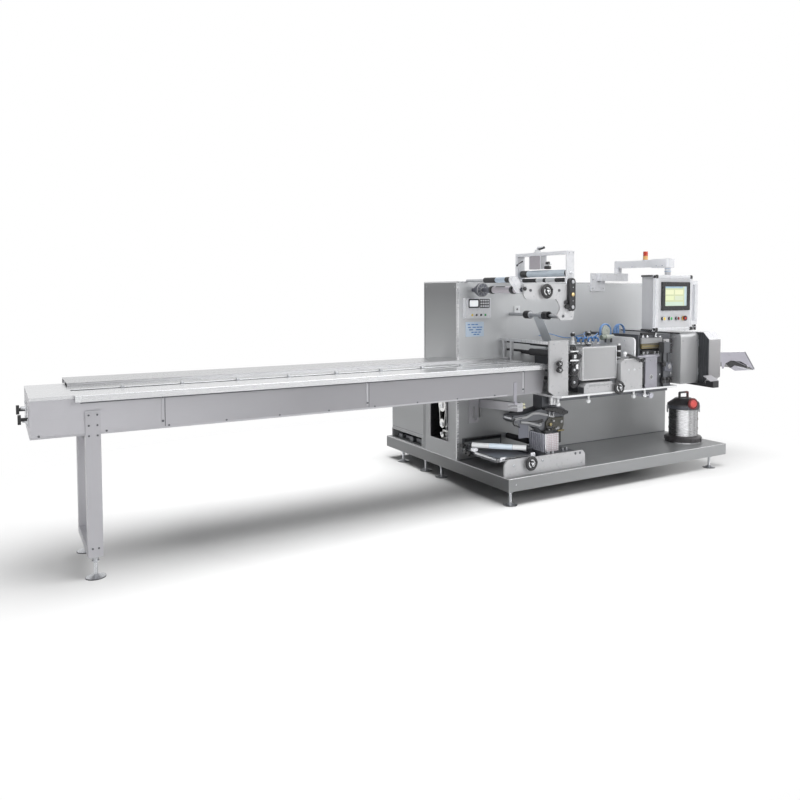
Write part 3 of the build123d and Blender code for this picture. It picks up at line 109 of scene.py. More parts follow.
def turned(profile, centre, facing, steps=32, share=None, close=True):
    """A turned surface: each point (r, h) of the profile goes to centre + h w + r (cos a u + sin a v),
    for angles a all the way round. The share changes r by the angle, as for a hexagon."""
    u, v, w = directions(facing)
    if close:
        profile, flags = shut(profile, share[0] if share is not None else [False] * len(profile))
        share = share if share is None else (np.array(flags), share[1])
    p = np.array(profile, float) * MM
    a = np.linspace(0, 2 * math.pi, steps, endpoint=False)
    ring = np.cos(a)[:, None] * u + np.sin(a)[:, None] * v
    reach = p[:, 0, None] * np.ones(steps)
    if share is not None:
        reach = np.where(share[0][:, None], reach * share[1](a)[None, :], reach)
    points = np.array(centre) + p[:, 1, None, None] * w + reach[:, :, None] * ring
    return points.reshape(-1, 3), [grid_faces(len(p), steps)]


def hexagon(a):
    """The reach of a hexagon of unit inner radius at angle a: 1 / cos of the angle from its nearest flat."""
    return 1 / np.cos((a % (math.pi / 3)) - math.pi / 6)


def round_rectangle(width, height, radius, steps=5):
    """Four quarter circles round the corner centres, in millimetres, counter-clockwise."""
    a = np.linspace(0, math.pi / 2, steps)[None, :] + (np.arange(4) * math.pi / 2)[:, None]
    across = (width / 2 - radius) * np.array((1, -1, -1, 1))[:, None] + radius * np.cos(a)
    up = (height / 2 - radius) * np.array((1, 1, -1, -1))[:, None] + radius * np.sin(a)
    return np.stack((across, up), -1).reshape(-1, 2)


def as_outline(outline):
    """An outline's points; a width, a height, a corner radius and its steps stand for a rounded rectangle."""
    return np.array(round_rectangle(*outline) if np.ndim(outline) == 1 else outline, float)


def circle(radius, steps=32):
    """Points (r cos a, r sin a) for angles a all the way round, in millimetres."""
    a = np.linspace(0, 2 * math.pi, steps, endpoint=False)
    return radius * np.stack((np.cos(a), np.sin(a)), -1)


def drawn_in(outline, depth):
    """The outline with each point moved inwards, square to both of its edges, by the depth."""
    o = np.array(outline, float)
    before, after = o - np.roll(o, 1, 0), np.roll(o, -1, 0) - o
    n1, n2 = (np.stack((-d[:, 1], d[:, 0]), -1) / np.linalg.norm(d, axis=1)[:, None] for d in (before, after))
    return o + depth * (n1 + n2) / (1 + (n1 * n2).sum(1))[:, None]


def slab(outline, centre, facing, thickness, edge=0.6, closed=True):
    """A plate with eased edges: its outline at four heights, the first and last drawn in by the edge."""
    u, v, w = directions(facing)
    o = as_outline(outline)
    if np.cross(o, np.roll(o, -1, 0)).sum() < 0:
        o = o[::-1]
    edge = min(edge, thickness * 0.45)
    rows = [drawn_in(o, inset) @ np.stack((u, v)) + h * w
        for inset, h in ((edge, 0), (0, edge), (0, thickness - edge), (edge, thickness))]
    points = np.array(centre) + np.concatenate(rows) * MM
    n = len(o)
    faces = [grid_faces(4, n)]
    if closed:
        faces += [np.arange(n)[::-1][None], 3 * n + np.arange(n)[None]]
    return points, faces


def frame_ring(outer, inner, centre, facing, thickness):
    """A flat ring: outer low, outer high, inner high and inner low outlines of equal count, joined round."""
    u, v, w = directions(facing)
    outer, inner = as_outline(outer), as_outline(inner)
    rows = [o @ np.stack((u, v)) + h * w for o, h in ((outer, 0), (outer, thickness), (inner, thickness),
        (inner, 0))]
    return np.array(centre) + np.concatenate(rows) * MM, [grid_faces(4, len(outer), wrap_rows=True)]


def tube(path, radius, sides=12, reference=(0, 0, 1)):
    """A round section carried along a path in metres: p + r (cos a s + sin a n), where s is square to the
    path and the reference direction and n is square to both. The radius may change along the path."""
    p = np.array(path, float)
    t = np.gradient(p, axis=0)
    t /= np.linalg.norm(t, axis=1)[:, None]
    s = np.cross(np.array(reference, float), t)
    s /= np.linalg.norm(s, axis=1)[:, None]
    n = np.cross(t, s)
    a = np.linspace(0, 2 * math.pi, sides, endpoint=False)
    r = np.broadcast_to(np.array(radius, float) * MM, (len(p),))[:, None, None]
    ring = np.cos(a)[None, :, None] * s[:, None] + np.sin(a)[None, :, None] * n[:, None]
    points = (p[:, None] + r * ring).reshape(-1, 3)
    count = len(p)
    ends = [np.arange(sides)[::-1][None], (count - 1) * sides + np.arange(sides)[None]]
    return points, [grid_faces(count, sides)] + ends


def spring(start, facing, length, radius, wire, turns, steps=14):
    """A coil spring: centre + r (cos a u + sin a v) + h w; a runs through the turns, h the length."""
    u, v, w = directions(facing)
    a = np.linspace(0, 2 * math.pi * turns, int(turns * steps))
    h = np.linspace(wire, length - wire, len(a))
    path = (np.cos(a)[:, None] * u + np.sin(a)[:, None] * v) * radius + h[:, None] * w
    return tube(np.array(start) + path * MM, wire, 6, w)


def smooth_path(points, count=40):
    """A curve through the points, each coordinate a smoothed run between its neighbours."""
    p = np.array(points, float)
    s = np.linspace(0, len(p) - 1, count)
    i = np.clip(s.astype(int), 0, len(p) - 2)
    f = (s - i)[:, None]
    m = np.gradient(p, axis=0)
    back, on = (1 - f) ** 2, f * f
    return (1 + 2 * f) * back * p[i] + f * back * m[i] + on * (3 - 2 * f) * p[i + 1] + on * (f - 1) * m[i + 1]


def joined(shapes):
    """One shape from several, their face indexes shifted by the points before them.
    One shape alone stays as it is."""
    if isinstance(shapes, tuple):
        return shapes
    points, faces, start = [], [], 0
    for verts, groups in shapes:
        points.append(verts)
        faces += [group + start for group in groups]
        start += len(verts)
    return np.concatenate(points), faces


def copies(shape, places):
    """The shape once at each place, in metres from where it is."""
    verts, groups = shape
    places = np.array(places, float).reshape(-1, 3)
    points = (verts[None] + places[:, None]).reshape(-1, 3)
    shifts = (np.arange(len(places)) * len(verts))[:, None, None]
    return points, [(group[None] + shifts).reshape(-1, group.shape[1]) for group in groups]


def row(start, end, count):
    """Points spaced evenly from start to end."""
    return np.array(start) + np.linspace(0, 1, count)[:, None] * (np.array(end) - np.array(start))


def piece(name, shapes, finish, body="machine", sharp=38.0):
    """Puts shapes into one mesh at the origin, welds its seams and poles and lets it ride on a body.
    Its slot is the finish's own."""
    points, groups = joined(shapes)
    mesh = bpy.data.meshes.new(name)
    mesh.from_pydata(points.tolist(), [], [face for group in groups for face in group.tolist()])
    work = bmesh.new()
    work.from_mesh(mesh)
    bmesh.ops.remove_doubles(work, verts=work.verts, dist=WELD)
    bmesh.ops.dissolve_degenerate(work, edges=work.edges, dist=SLIVER)
    bmesh.ops.recalc_face_normals(work, faces=work.faces)
    work.to_mesh(mesh)
    work.free()
    mesh.shade_smooth()
    mesh.set_sharp_from_angle(angle=math.radians(sharp))
    mesh.materials.append(FINISH[finish])
    thing = bpy.data.objects.new(name, mesh)
    bpy.context.scene.collection.objects.link(thing)
    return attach(thing, body)


# Small parts that are used again and again

def socket_screw(radius, height, facing="front", steps=24):
    """A hex socket screw: flat rim, eased edge, six-sided socket with a coned bottom."""
    socket = radius * 0.5
    profile = [(radius, 0), (radius, height * 0.8), (radius * 0.86, height), (socket * 1.12, height),
        (socket, height), (socket, height * 0.35), (0, height * 0.25)]
    hexed = np.array([False, False, False, False, True, True, False])
    return turned(profile, (0, 0, 0), facing, steps, (hexed, hexagon))


def screws(radius, height, places, facing="front"):
    """Hex socket screws at places in metres."""
    scale = sizes().screw_scale
    return copies(socket_screw(radius * scale, height * scale, facing), places)


def hex_nut(radius, height, bore, facing="top"):
    """A hex nut: six flats between two eased ends, round a bore."""
    profile = [(bore, 0), (radius * 0.94, 0), (radius, height * 0.15), (radius, height * 0.85),
        (radius * 0.94, height), (bore, height)]
    hexed = np.array([False, True, True, True, True, False])
    return turned(profile, (0, 0, 0), facing, 24, (hexed, hexagon))


def ball(radius, centre, facing="top", steps=20):
    """A ball with a short neck: r = R sin a, h = R (1 - cos a) for a from the neck to the pole."""
    a = np.linspace(0.42, math.pi, 12)
    profile = [(radius * 0.42, -radius * 0.5)] + list(zip(radius * np.sin(a), radius * (1 - np.cos(a))))
    return turned(profile, centre, facing, steps)


def ring_profile(radius, section, steps=12):
    """The section of a round ring: (R + s cos a, s sin a) for angles a all the way round."""
    a = np.linspace(0, 2 * math.pi, steps + 1)
    return list(zip(radius + section * np.cos(a), section * np.sin(a)))


def sleeve(radius, bore, length, edge=0.8):
    """The section of a sleeve: bore, eased outer edges and the bore again."""
    return [(bore, 0), (radius - edge, 0), (radius, edge), (radius, length - edge), (radius - edge, length),
        (bore, length), (bore, 0)]


def threads(radius, depth, pitch, length):
    """A thread's section: the radius and the radius less the depth in turn, half a pitch apart,
    and flat ends."""
    h = np.arange(0, length, pitch / 2)
    return [(0, 0)] + list(zip(np.where(np.arange(len(h)) % 2, radius - depth, radius), h)) + [(0, h[-1])]


# Finishes

def new_material(name):
    """An empty node material with its surface shader and its Object coordinates."""
    material = bpy.data.materials.new(name)
    material.use_nodes = True
    tree = material.node_tree
    tree.nodes.clear()
    output = tree.nodes.new("ShaderNodeOutputMaterial")
    shader = tree.nodes.new("ShaderNodeBsdfPrincipled")
    place = tree.nodes.new("ShaderNodeTexCoord")
    tree.links.new(shader.outputs["BSDF"], output.inputs["Surface"])
    return material, tree, shader, place.outputs["Object"]


def mapped(tree, vector, scale, turn=(0, 0, 0), shift=(0, 0, 0)):
    """The coordinates, moved, turned and scaled."""
    node = tree.nodes.new("ShaderNodeMapping")
    node.inputs["Location"].default_value = shift
    node.inputs["Scale"].default_value = scale
    node.inputs["Rotation"].default_value = turn
    tree.links.new(vector, node.inputs["Vector"])
    return node.outputs["Vector"]


def noise(tree, vector, scale, detail=3.0, roughness=0.5):
    """A noise value from 0 to 1."""
    node = tree.nodes.new("ShaderNodeTexNoise")
    node.inputs["Scale"].default_value = scale
    node.inputs["Detail"].default_value = detail
    node.inputs["Roughness"].default_value = roughness
    tree.links.new(vector, node.inputs["Vector"])
    return node.outputs["Fac"]


def part_of(tree, vector, axis):
    """One coordinate of a vector."""
    node = tree.nodes.new("ShaderNodeSeparateXYZ")
    tree.links.new(vector, node.inputs[0])
    return node.outputs[axis]


def spread(tree, value, low, high, start=0.3, end=0.7):
    """A value that runs from start to end, brought to run from low to high."""
    node = tree.nodes.new("ShaderNodeMapRange")
    node.inputs["From Min"].default_value = start
    node.inputs["From Max"].default_value = end
    node.inputs["To Min"].default_value = low
    node.inputs["To Max"].default_value = high
    tree.links.new(value, node.inputs["Value"])
    return node.outputs["Result"]


def sums(tree, operation, first, second):
    """Two values brought together; each is a socket or a number."""
    node = tree.nodes.new("ShaderNodeMath")
    node.operation = operation
    for socket, value in zip(node.inputs, (first, second)):
        if isinstance(value, (int, float)):
            socket.default_value = value
        else:
            tree.links.new(value, socket)
    return node.outputs[0]


def tint(tree, value, dark, light):
    """A colour between two colours, by a value from 0 to 1; each colour is three numbers or a socket."""
    node = tree.nodes.new("ShaderNodeMix")
    node.data_type = "RGBA"
    for socket, colour in ((node.inputs[6], dark), (node.inputs[7], light)):
        if isinstance(colour, bpy.types.NodeSocket):
            tree.links.new(colour, socket)
        else:
            socket.default_value = (*colour, 1)
    tree.links.new(value, node.inputs[0])
    return node.outputs[2]


def bump(tree, shader, value, strength, distance):
    """Raises the surface by a value."""
    node = tree.nodes.new("ShaderNodeBump")
    node.inputs["Strength"].default_value = strength
    node.inputs["Distance"].default_value = distance
    tree.links.new(value, node.inputs["Height"])
    tree.links.new(node.outputs["Normal"], shader.inputs["Normal"])


def feed(tree, shader, colours, rough, others=None):
    """Gives a shader its colours, its roughness and its other inputs, each a socket or a number."""
    for name, value in {"Base Color": colours, "Roughness": rough, **(others or {})}.items():
        if isinstance(value, bpy.types.NodeSocket):
            tree.links.new(value, shader.inputs[name])
        else:
            shader.inputs[name].default_value = value


def scaled(colour, factor):
    """A colour made darker or lighter, at most white."""
    return tuple(min(1, c * factor) for c in colour)


def shaded(tree, place, colours, shades):
    """Painted shade and painted light: colours scaled by factors that run along an axis, on the faces turned one
    way or on all faces.
    A shade is the facing or None, the axis, where it starts and ends, and its factors there."""
    for facing, axis, start, end, low, high in shades:
        factor = spread(tree, part_of(tree, place, axis), low, high, start, end)
        if facing is not None:
            component, sign = {"left": (0, -1), "front": (1, -1), "up": (2, 1)}[facing]
            surface = tree.nodes.new("ShaderNodeNewGeometry")
            normal = part_of(tree, surface.outputs["True Normal"], component)
            mask = spread(tree, normal, 0, 1, 0.5 * sign, 0.7 * sign)
            factor = sums(tree, "ADD", sums(tree, "MULTIPLY", mask, sums(tree, "SUBTRACT", factor, 1)), 1)
        node = tree.nodes.new("ShaderNodeVectorMath")
        node.operation = "SCALE"
        tree.links.new(colours, node.inputs[0])
        tree.links.new(factor, node.inputs["Scale"])
        colours = node.outputs[0]
    return colours


def brushed_steel(name, colour, along="X", metallic=0.7, rough=(0.3, 0.44), grain=0.07, shades=()):
    """Stainless sheet: fine streaks along the brushing over a slow cloudiness, with its painted shade and light."""
    material, tree, shader, place = new_material(name)
    fine = {"X": (5, 380, 380), "Y": (380, 5, 380), "Z": (380, 380, 5)}[along]
    streaks = noise(tree, mapped(tree, place, fine), 1, 2, 0.6)
    clouds = noise(tree, mapped(tree, place, (1.1, 1.1, 1.1)), 1.6, 4)
    both = sums(tree, "ADD", sums(tree, "MULTIPLY", streaks, 0.6), spread(tree, clouds, 0, 0.4))
    colours = tint(tree, both, scaled(colour, 1 - grain), scaled(colour, 1 + grain))
    feed(tree, shader, shaded(tree, place, colours, shades), spread(tree, streaks, *rough),
        {"Metallic": metallic})
    bump(tree, shader, streaks, 0.05, 0.0004)
    return material


def enamel(name, colour, rough=0.34, grain=0.03, coat=0.15, shades=()):
    """Stoved paint: an even colour with a slight cloudiness and a fine orange peel, with painted shade and light
    where shades are given.
    """
    material, tree, shader, place = new_material(name)
    clouds = noise(tree, place, 3, 5)
    colours = tint(tree, spread(tree, clouds, 0, 1), scaled(colour, 1 - grain), scaled(colour, 1 + grain))
    gloss = spread(tree, noise(tree, place, 40), rough * 0.85, rough * 1.2)
    feed(tree, shader, shaded(tree, place, colours, shades), gloss,
        {"Coat Weight": coat, "Coat Roughness": 0.2})
    bump(tree, shader, noise(tree, place, 900, 1), 0.05, 0.0002)
    return material


def plastic(name, colour, rough=0.42, grain=0.14):
    """Moulded plastic or rubber with a fine grain."""
    material, tree, shader, place = new_material(name)
    clouds = spread(tree, noise(tree, place, 25), 0, 1)
    feed(tree, shader, tint(tree, clouds, scaled(colour, 1 - grain), scaled(colour, 1 + grain)),
        spread(tree, noise(tree, place, 60), rough * 0.85, rough * 1.15))
    bump(tree, shader, noise(tree, place, 1500, 1), 0.12, 0.0003)
    return material


def polished(name, colour=(0.72, 0.73, 0.75), rough=0.16):
    """Bright turned or plated steel with faint turning marks."""
    material, tree, shader, place = new_material(name)
    marks = noise(tree, mapped(tree, place, (900, 900, 900)), 1, 2)
    colours = tint(tree, spread(tree, noise(tree, place, 12), 0, 1), scaled(colour, 0.92), colour)
    feed(tree, shader, colours, spread(tree, marks, rough * 0.8, rough * 1.5), {"Metallic": 1})
    return material


def banded(name, bands, axis, rough=0.3):
    """Bands of colour along an axis, from pairs of a place in metres and a colour, with a slight grain."""
    material, tree, shader, place = new_material(name)
    along = part_of(tree, place, axis)
    colours = bands[0][1]
    for start, colour in bands[1:]:
        colours = tint(tree, sums(tree, "GREATER_THAN", along, start), colours, colour)
    grain = spread(tree, noise(tree, place, 70), 0, 0.12)
    feed(tree, shader, tint(tree, grain, colours, (0.35, 0.36, 0.38)),
        spread(tree, noise(tree, place, 200), rough * 0.8, rough * 1.25))
    return material


def painted_facing_shade(name, side, front):
    """A folded cover with painted light and shade: a dark colour where the sheet faces sideways and a pale one at
    its front and top, the top lit brighter still and the front darker towards its foot.
    """
    material, tree, shader, place = new_material(name)
    surface = tree.nodes.new("ShaderNodeNewGeometry")
    turned_side = sums(tree, "ABSOLUTE", part_of(tree, surface.outputs["True Normal"], 0), 0)
    streaks = noise(tree, mapped(tree, place, (260, 260, 6)), 1, 2)
    dark = tint(tree, streaks, scaled(side, 0.6), scaled(side, 1.5))
    pale = tint(tree, streaks, scaled(front, 0.94), scaled(front, 1.05))
    colours = tint(tree, spread(tree, turned_side, 0, 1, 0.4, 0.7), pale, dark)
    colours = shaded(tree, place, colours, [("up", 2, 0, 1, 1.7, 1.7), ("front", 2, 0.75, 1.05, 0.75, 1)])
    feed(tree, shader, colours, spread(tree, streaks, 0.22, 0.36), {"Metallic": 0.2})
    return material


def sheen_bands(name, node, bands):
    """Turned sheet with painted reflections: bright and dark bands by the angle round the node's upright axis, in
    degrees.
    """
    low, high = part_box(node)
    material, tree, shader, place = new_material(name)
    across = sums(tree, "SUBTRACT", part_of(tree, place, 0), (low.x + high.x) / 2)
    back = sums(tree, "SUBTRACT", part_of(tree, place, 1), (low.y + high.y) / 2)
    angle = sums(tree, "ARCTAN2", back, across)
    turn = sums(tree, "FRACT", sums(tree, "DIVIDE", angle, 2 * math.pi), 0)
    grain = noise(tree, mapped(tree, place, (30, 30, 500)), 1, 2)
    turn = sums(tree, "ADD", turn, spread(tree, grain, -0.008, 0.008))
    ramp = tree.nodes.new("ShaderNodeValToRGB")
    tree.links.new(turn, ramp.inputs["Fac"])
    marks = ramp.color_ramp.elements
    while len(marks) < len(bands):
        marks.new(0.5)
    for mark, (degrees, level) in zip(marks, bands):
        mark.position = degrees / 360
        mark.color = (level, level, level * 1.02, 1)
    feed(tree, shader, ramp.outputs["Color"], spread(tree, grain, 0.18, 0.34), {"Metallic": 0.35})
    return material


def lit_panel(name, colour, glow):
    """A lit display: an even colour with faint clouds that also glows."""
    material, tree, shader, place = new_material(name)
    colours = tint(tree, spread(tree, noise(tree, place, 60), 0, 1), scaled(colour, 0.9), colour)
    feed(tree, shader, colours, 0.2, {"Emission Color": colours, "Emission Strength": glow})
    return material


def screen_page(name, node_name, glow=0.22):
    """A lit touch screen page: a pale ground with a title bar, a grid of fields and a column of keys."""
    low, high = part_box(node_name)
    material, tree, shader, place = new_material(name)
    across = spread(tree, part_of(tree, place, 0), 0, 1, low.x, high.x)
    up = spread(tree, part_of(tree, place, 2), 0, 1, low.z, high.z)
    colours = (0.5, 0.54, 0.33)
    areas = [(0.1, 0.78, 0.76, 0.88, (0.3, 0.42, 0.5)), (0.12, 0.56, 0.42, 0.72, (0.66, 0.68, 0.46)),
        (0.46, 0.56, 0.76, 0.72, (0.66, 0.68, 0.46)), (0.12, 0.36, 0.42, 0.51, (0.62, 0.66, 0.42)),
        (0.46, 0.36, 0.76, 0.51, (0.55, 0.6, 0.46)), (0.12, 0.16, 0.76, 0.3, (0.5, 0.6, 0.5)),
        (0.8, 0.16, 0.9, 0.88, (0.42, 0.52, 0.55))]
    for left, down, right, top, colour in areas:
        inside = None
        for value, edge, operation in ((across, left, "GREATER_THAN"), (across, right, "LESS_THAN"),
                                       (up, down, "GREATER_THAN"), (up, top, "LESS_THAN")):
            test = sums(tree, operation, value, edge)
            inside = test if inside is None else sums(tree, "MULTIPLY", inside, test)
        colours = tint(tree, inside, colours, colour)
    gloss = spread(tree, noise(tree, place, 90), 0.12, 0.2)
    feed(tree, shader, colours, gloss, {"Emission Color": colours, "Emission Strength": glow})
    return material


# What a user can change

def colour(name, description, default):
    return FloatVectorProperty(name=name, description=description, default=default, subtype="COLOR", min=0.0,
        max=1.0, size=3)


class FinishColours(bpy.types.PropertyGroup):
    """Colours of the machine's finishes."""
    housing: colour("Housing sheet", "Brushed sheet of the cabinets and the platform", (0.56, 0.57, 0.58))
    conveyor: colour("Conveyor sheet", "Brushed sheet of the infeed conveyor", (0.565, 0.56, 0.59))
    rail: colour("Rails", "Ground steel of the rails, the table and the deck", (0.74, 0.745, 0.76))
    plate: colour("Side plates", "Pale plates of the film and sealing units", (0.455, 0.455, 0.465))
    dark: colour("Dark parts", "Blackened steel of clamps, carriages and frames", (0.055, 0.057, 0.062))
    black: colour("Black plastic", "Knobs, handwheels and rubber rollers", (0.018, 0.018, 0.02))
    film: colour("Film", "Pale packing film", (0.76, 0.86, 0.95))
    hose: colour("Air hose", "Pneumatic hose", (0.2, 0.38, 0.72))
    panel: colour("Operator panel", "Enamel of the panel's housing and frame", (0.56, 0.565, 0.585))


class FittingSizes(bpy.types.PropertyGroup):
    """Sizes of the fittings that are added to the frame."""
    screw_scale: FloatProperty(name="Screw scale", description="Factor on the socket screws' heads",
        default=1.0, min=0.5, max=1.3)
    light: FloatProperty(name="Light level", description="Factor on every lamp of the stage", default=1.0,
        min=0.2, max=3.0)
    round_steps: IntProperty(name="Round steps", description="Facets round a turned part", default=32, min=12,
        max=64)


FINISH = {}


def sizes():
    return bpy.context.scene.packer_sizes


# The stage

class PACKER_OT_stage(bpy.types.Operator):
    """Pale floor, soft lamps, white surroundings and the camera"""
    bl_idname = "packer.stage"
    bl_label = "Stage"

    def execute(self, context):
        floor_stage()
        lamps(sizes().light)
        surroundings()
        camera()
        return {"FINISHED"}


def floor_stage():
    """A round floor: rings of points (r cos a, r sin a) at growing radii, whose material turns from a shadow
    catching white near the machine to a plain white far away."""
    r = np.concatenate(([0], np.geomspace(1, 60, 14))) / MM
    points, faces = turned([(a, 0) for a in r[::-1]], (0, 0.4, 0), "top", 48, close=False)
    mesh = bpy.data.meshes.new("floor")
    mesh.from_pydata(points.tolist(), [], faces[0].tolist())
    mesh.validate()
    floor = bpy.data.objects.new("floor", mesh)
    bpy.context.scene.collection.objects.link(floor)
    material = bpy.data.materials.new("pale_floor")
    material.use_nodes = True
    tree = material.node_tree
    tree.nodes.clear()
    output = tree.nodes.new("ShaderNodeOutputMaterial")
    matt = tree.nodes.new("ShaderNodeBsdfDiffuse")
    white = tree.nodes.new("ShaderNodeEmission")
    white.inputs["Color"].default_value = (1, 1, 1, 1)
    mix = tree.nodes.new("ShaderNodeMixShader")
    place = tree.nodes.new("ShaderNodeTexCoord").outputs["Object"]
    reach = tree.nodes.new("ShaderNodeVectorMath")
    reach.operation = "LENGTH"
    tree.links.new(mapped(tree, place, (0.8, 1, 1), shift=(0.25, -0.4, 0)), reach.inputs[0])
    speck = spread(tree, noise(tree, place, 3), 0.97, 1)
    tree.links.new(tint(tree, speck, (0.31, 0.31, 0.31), (0.34, 0.34, 0.34)), matt.inputs["Color"])
    view = tree.nodes.new("ShaderNodeLightPath")
    seen = sums(tree, "MAXIMUM", view.outputs["Is Camera Ray"], view.outputs["Is Glossy Ray"])
    seen = sums(tree, "MAXIMUM", seen, view.outputs["Is Transmission Ray"])
    far = spread(tree, reach.outputs["Value"], 0, 1, 1.3, 3.1)
    tree.links.new(sums(tree, "MULTIPLY", far, seen), mix.inputs["Fac"])
    tree.links.new(matt.outputs[0], mix.inputs[1])
    tree.links.new(white.outputs[0], mix.inputs[2])
    tree.links.new(mix.outputs[0], output.inputs["Surface"])
    mesh.materials.append(material)


def lamps(level):
    """Large soft lamps: a front key from above, one from the right, one overhead and a weak one at the left.
    The floor lamp reaches only the floor, which stays white and keeps the machine's shadow. The film lamp
    reaches only the lower film unit's pieces that are linked to its collection."""
    target = Vector((0.6, 0.3, 0.7))
    for name, place, width, height, power in (
            ("key_lamp", (1.6, -5.6, 3.4), 5, 3, 170),
            ("right_lamp", (6, -2.4, 3.4), 3.6, 3, 60),
            ("top_lamp", (0.4, -0.6, 5.6), 6.5, 4.5, 120),
            ("left_lamp", (-6.2, -1.6, 3), 3, 3, 14),
            ("floor_lamp", (0, -0.08, 6.5), 7.5, 4.5, 1900),
            ("film_lamp", (-0.6, -2.2, 0.9), 1, 0.6, 52)):
        data = bpy.data.lights.new(name, "AREA")
        data.shape = "RECTANGLE"
        data.size, data.size_y = width, height
        data.energy = power * level
        lamp = bpy.data.objects.new(name, data)
        lamp.location = place
        lamp.rotation_euler = (target - Vector(place)).to_track_quat("-Z", "Y").to_euler()
        bpy.context.scene.collection.objects.link(lamp)
        if name in ("floor_lamp", "film_lamp"):
            lit = bpy.data.collections.new(f"lit_by_{name}")
            lamp.light_linking.receiver_collection = lit
    bpy.data.collections["lit_by_floor_lamp"].objects.link(bpy.data.objects["floor"])


def surroundings():
    """A white world as the camera, gloss and glass see it, and a weaker one as light."""
    world = bpy.data.worlds.new("white_world")
    world.use_nodes = True
    tree = world.node_tree
    tree.nodes.clear()
    output = tree.nodes.new("ShaderNodeOutputWorld")
    seen, light = (tree.nodes.new("ShaderNodeBackground") for _ in range(2))
    seen.inputs["Color"].default_value = (1, 1, 1, 1)
    light.inputs["Color"].default_value = (0.96, 0.98, 1, 1)
    light.inputs["Strength"].default_value = 0.3
    view = tree.nodes.new("ShaderNodeLightPath")
    either = sums(tree, "MAXIMUM", view.outputs["Is Camera Ray"], view.outputs["Is Transmission Ray"])
    either = sums(tree, "MAXIMUM", either, view.outputs["Is Glossy Ray"])
    mix = tree.nodes.new("ShaderNodeMixShader")
    tree.links.new(either, mix.inputs["Fac"])
    tree.links.new(light.outputs[0], mix.inputs[1])
    tree.links.new(seen.outputs[0], mix.inputs[2])
    tree.links.new(mix.outputs[0], output.inputs["Surface"])
    bpy.context.scene.world = world


def camera():
    """The photograph's view, for a square picture."""
    data = bpy.data.cameras.new("view")
    data.sensor_width = 36
    data.lens = 32.95
    data.shift_x = -0.0575
    data.shift_y = -0.0919
    data.clip_end = 200
    thing = bpy.data.objects.new("view", data)
    thing.location = (-2.873, -3.832, 1.4)
    thing.rotation_euler = (math.radians(87.34), 0, math.radians(-31.78))
    bpy.context.scene.collection.objects.link(thing)
    bpy.context.scene.camera = thing
    bpy.context.scene.view_settings.view_transform = "Standard"


# Finishes of the frame's nodes

class PACKER_OT_finishes(bpy.types.Operator):
    """Gives each node of the frame its finish"""
    bl_idname = "packer.finishes"
    bl_label = "Finishes"

    def execute(self, context):
        make_finishes(context.scene.packer_colours)
        for finish, names in NODE_FINISH.items():
            for name in names.split():
                cover(NODES[name], FINISH[finish])
        bare = set(NODES) - {name for names in NODE_FINISH.values() for name in names.split()}
        if bare:
            raise RuntimeError(f"no finish for {sorted(bare)}")
        return {"FINISHED"}


NODE_FINISH = {
    "housing": "main_cabinet rear_cabinet",
    "platform": "base_frame",
    "conveyor": "conveyor_trough",
    "leg": "conveyor_leg support_beam",
    "rail": "front_rail tail_cover",
    "table": "rear_table",
    "deck": "deck_plate",
    "chute": "discharge_chute",
    "panel": "operator_panel",
    "frame": "panel_frame arm_bracket panel_arm film_portal portal_adjuster control_box panel_handle",
    "plate": "infeed_side_plate lower_slide_plate end_seal_box seal_adjuster",
    "film_plate": "film_side_plate",
    "pale": "seal_side_plate",
    "cover": "seal_cover",
    "cutter": "cutter_cover",
    "bright": "infeed_frame",
    "lilac": "end_seal_plate",
    "turned": "levelling_feet seal_knobs guide_rollers film_reel chain_sprockets pusher_chain",
    "pulley": "belt_drive",
    "dark": "seal_housing end_seal_frame end_seal_jaws lower_carriage swing_arms turning_frame cutter_base",
    "guard": "belt_guard clamp_lever",
    "black": "tail_knobs upper_handwheel deck_handwheel lower_handwheel panel_buttons",
    "rubber": "infeed_rollers seal_wheels",
    "smoked": "outfeed_cover",
    "film": "film_roll",
    "web": "film_web",
    "hose": "air_hoses",
    "beacon": "beacon_lamp",
    "screen": "panel_screen",
    "drum": "collector_drum",
    "lid": "collector_head",
}


def cover(thing, material):
    """Puts one material in the node's only slot; its mesh stays as it is."""
    if not thing.material_slots:
        thing.data.materials.append(material)
    for place in thing.material_slots:
        place.link = "OBJECT"
        place.material = material


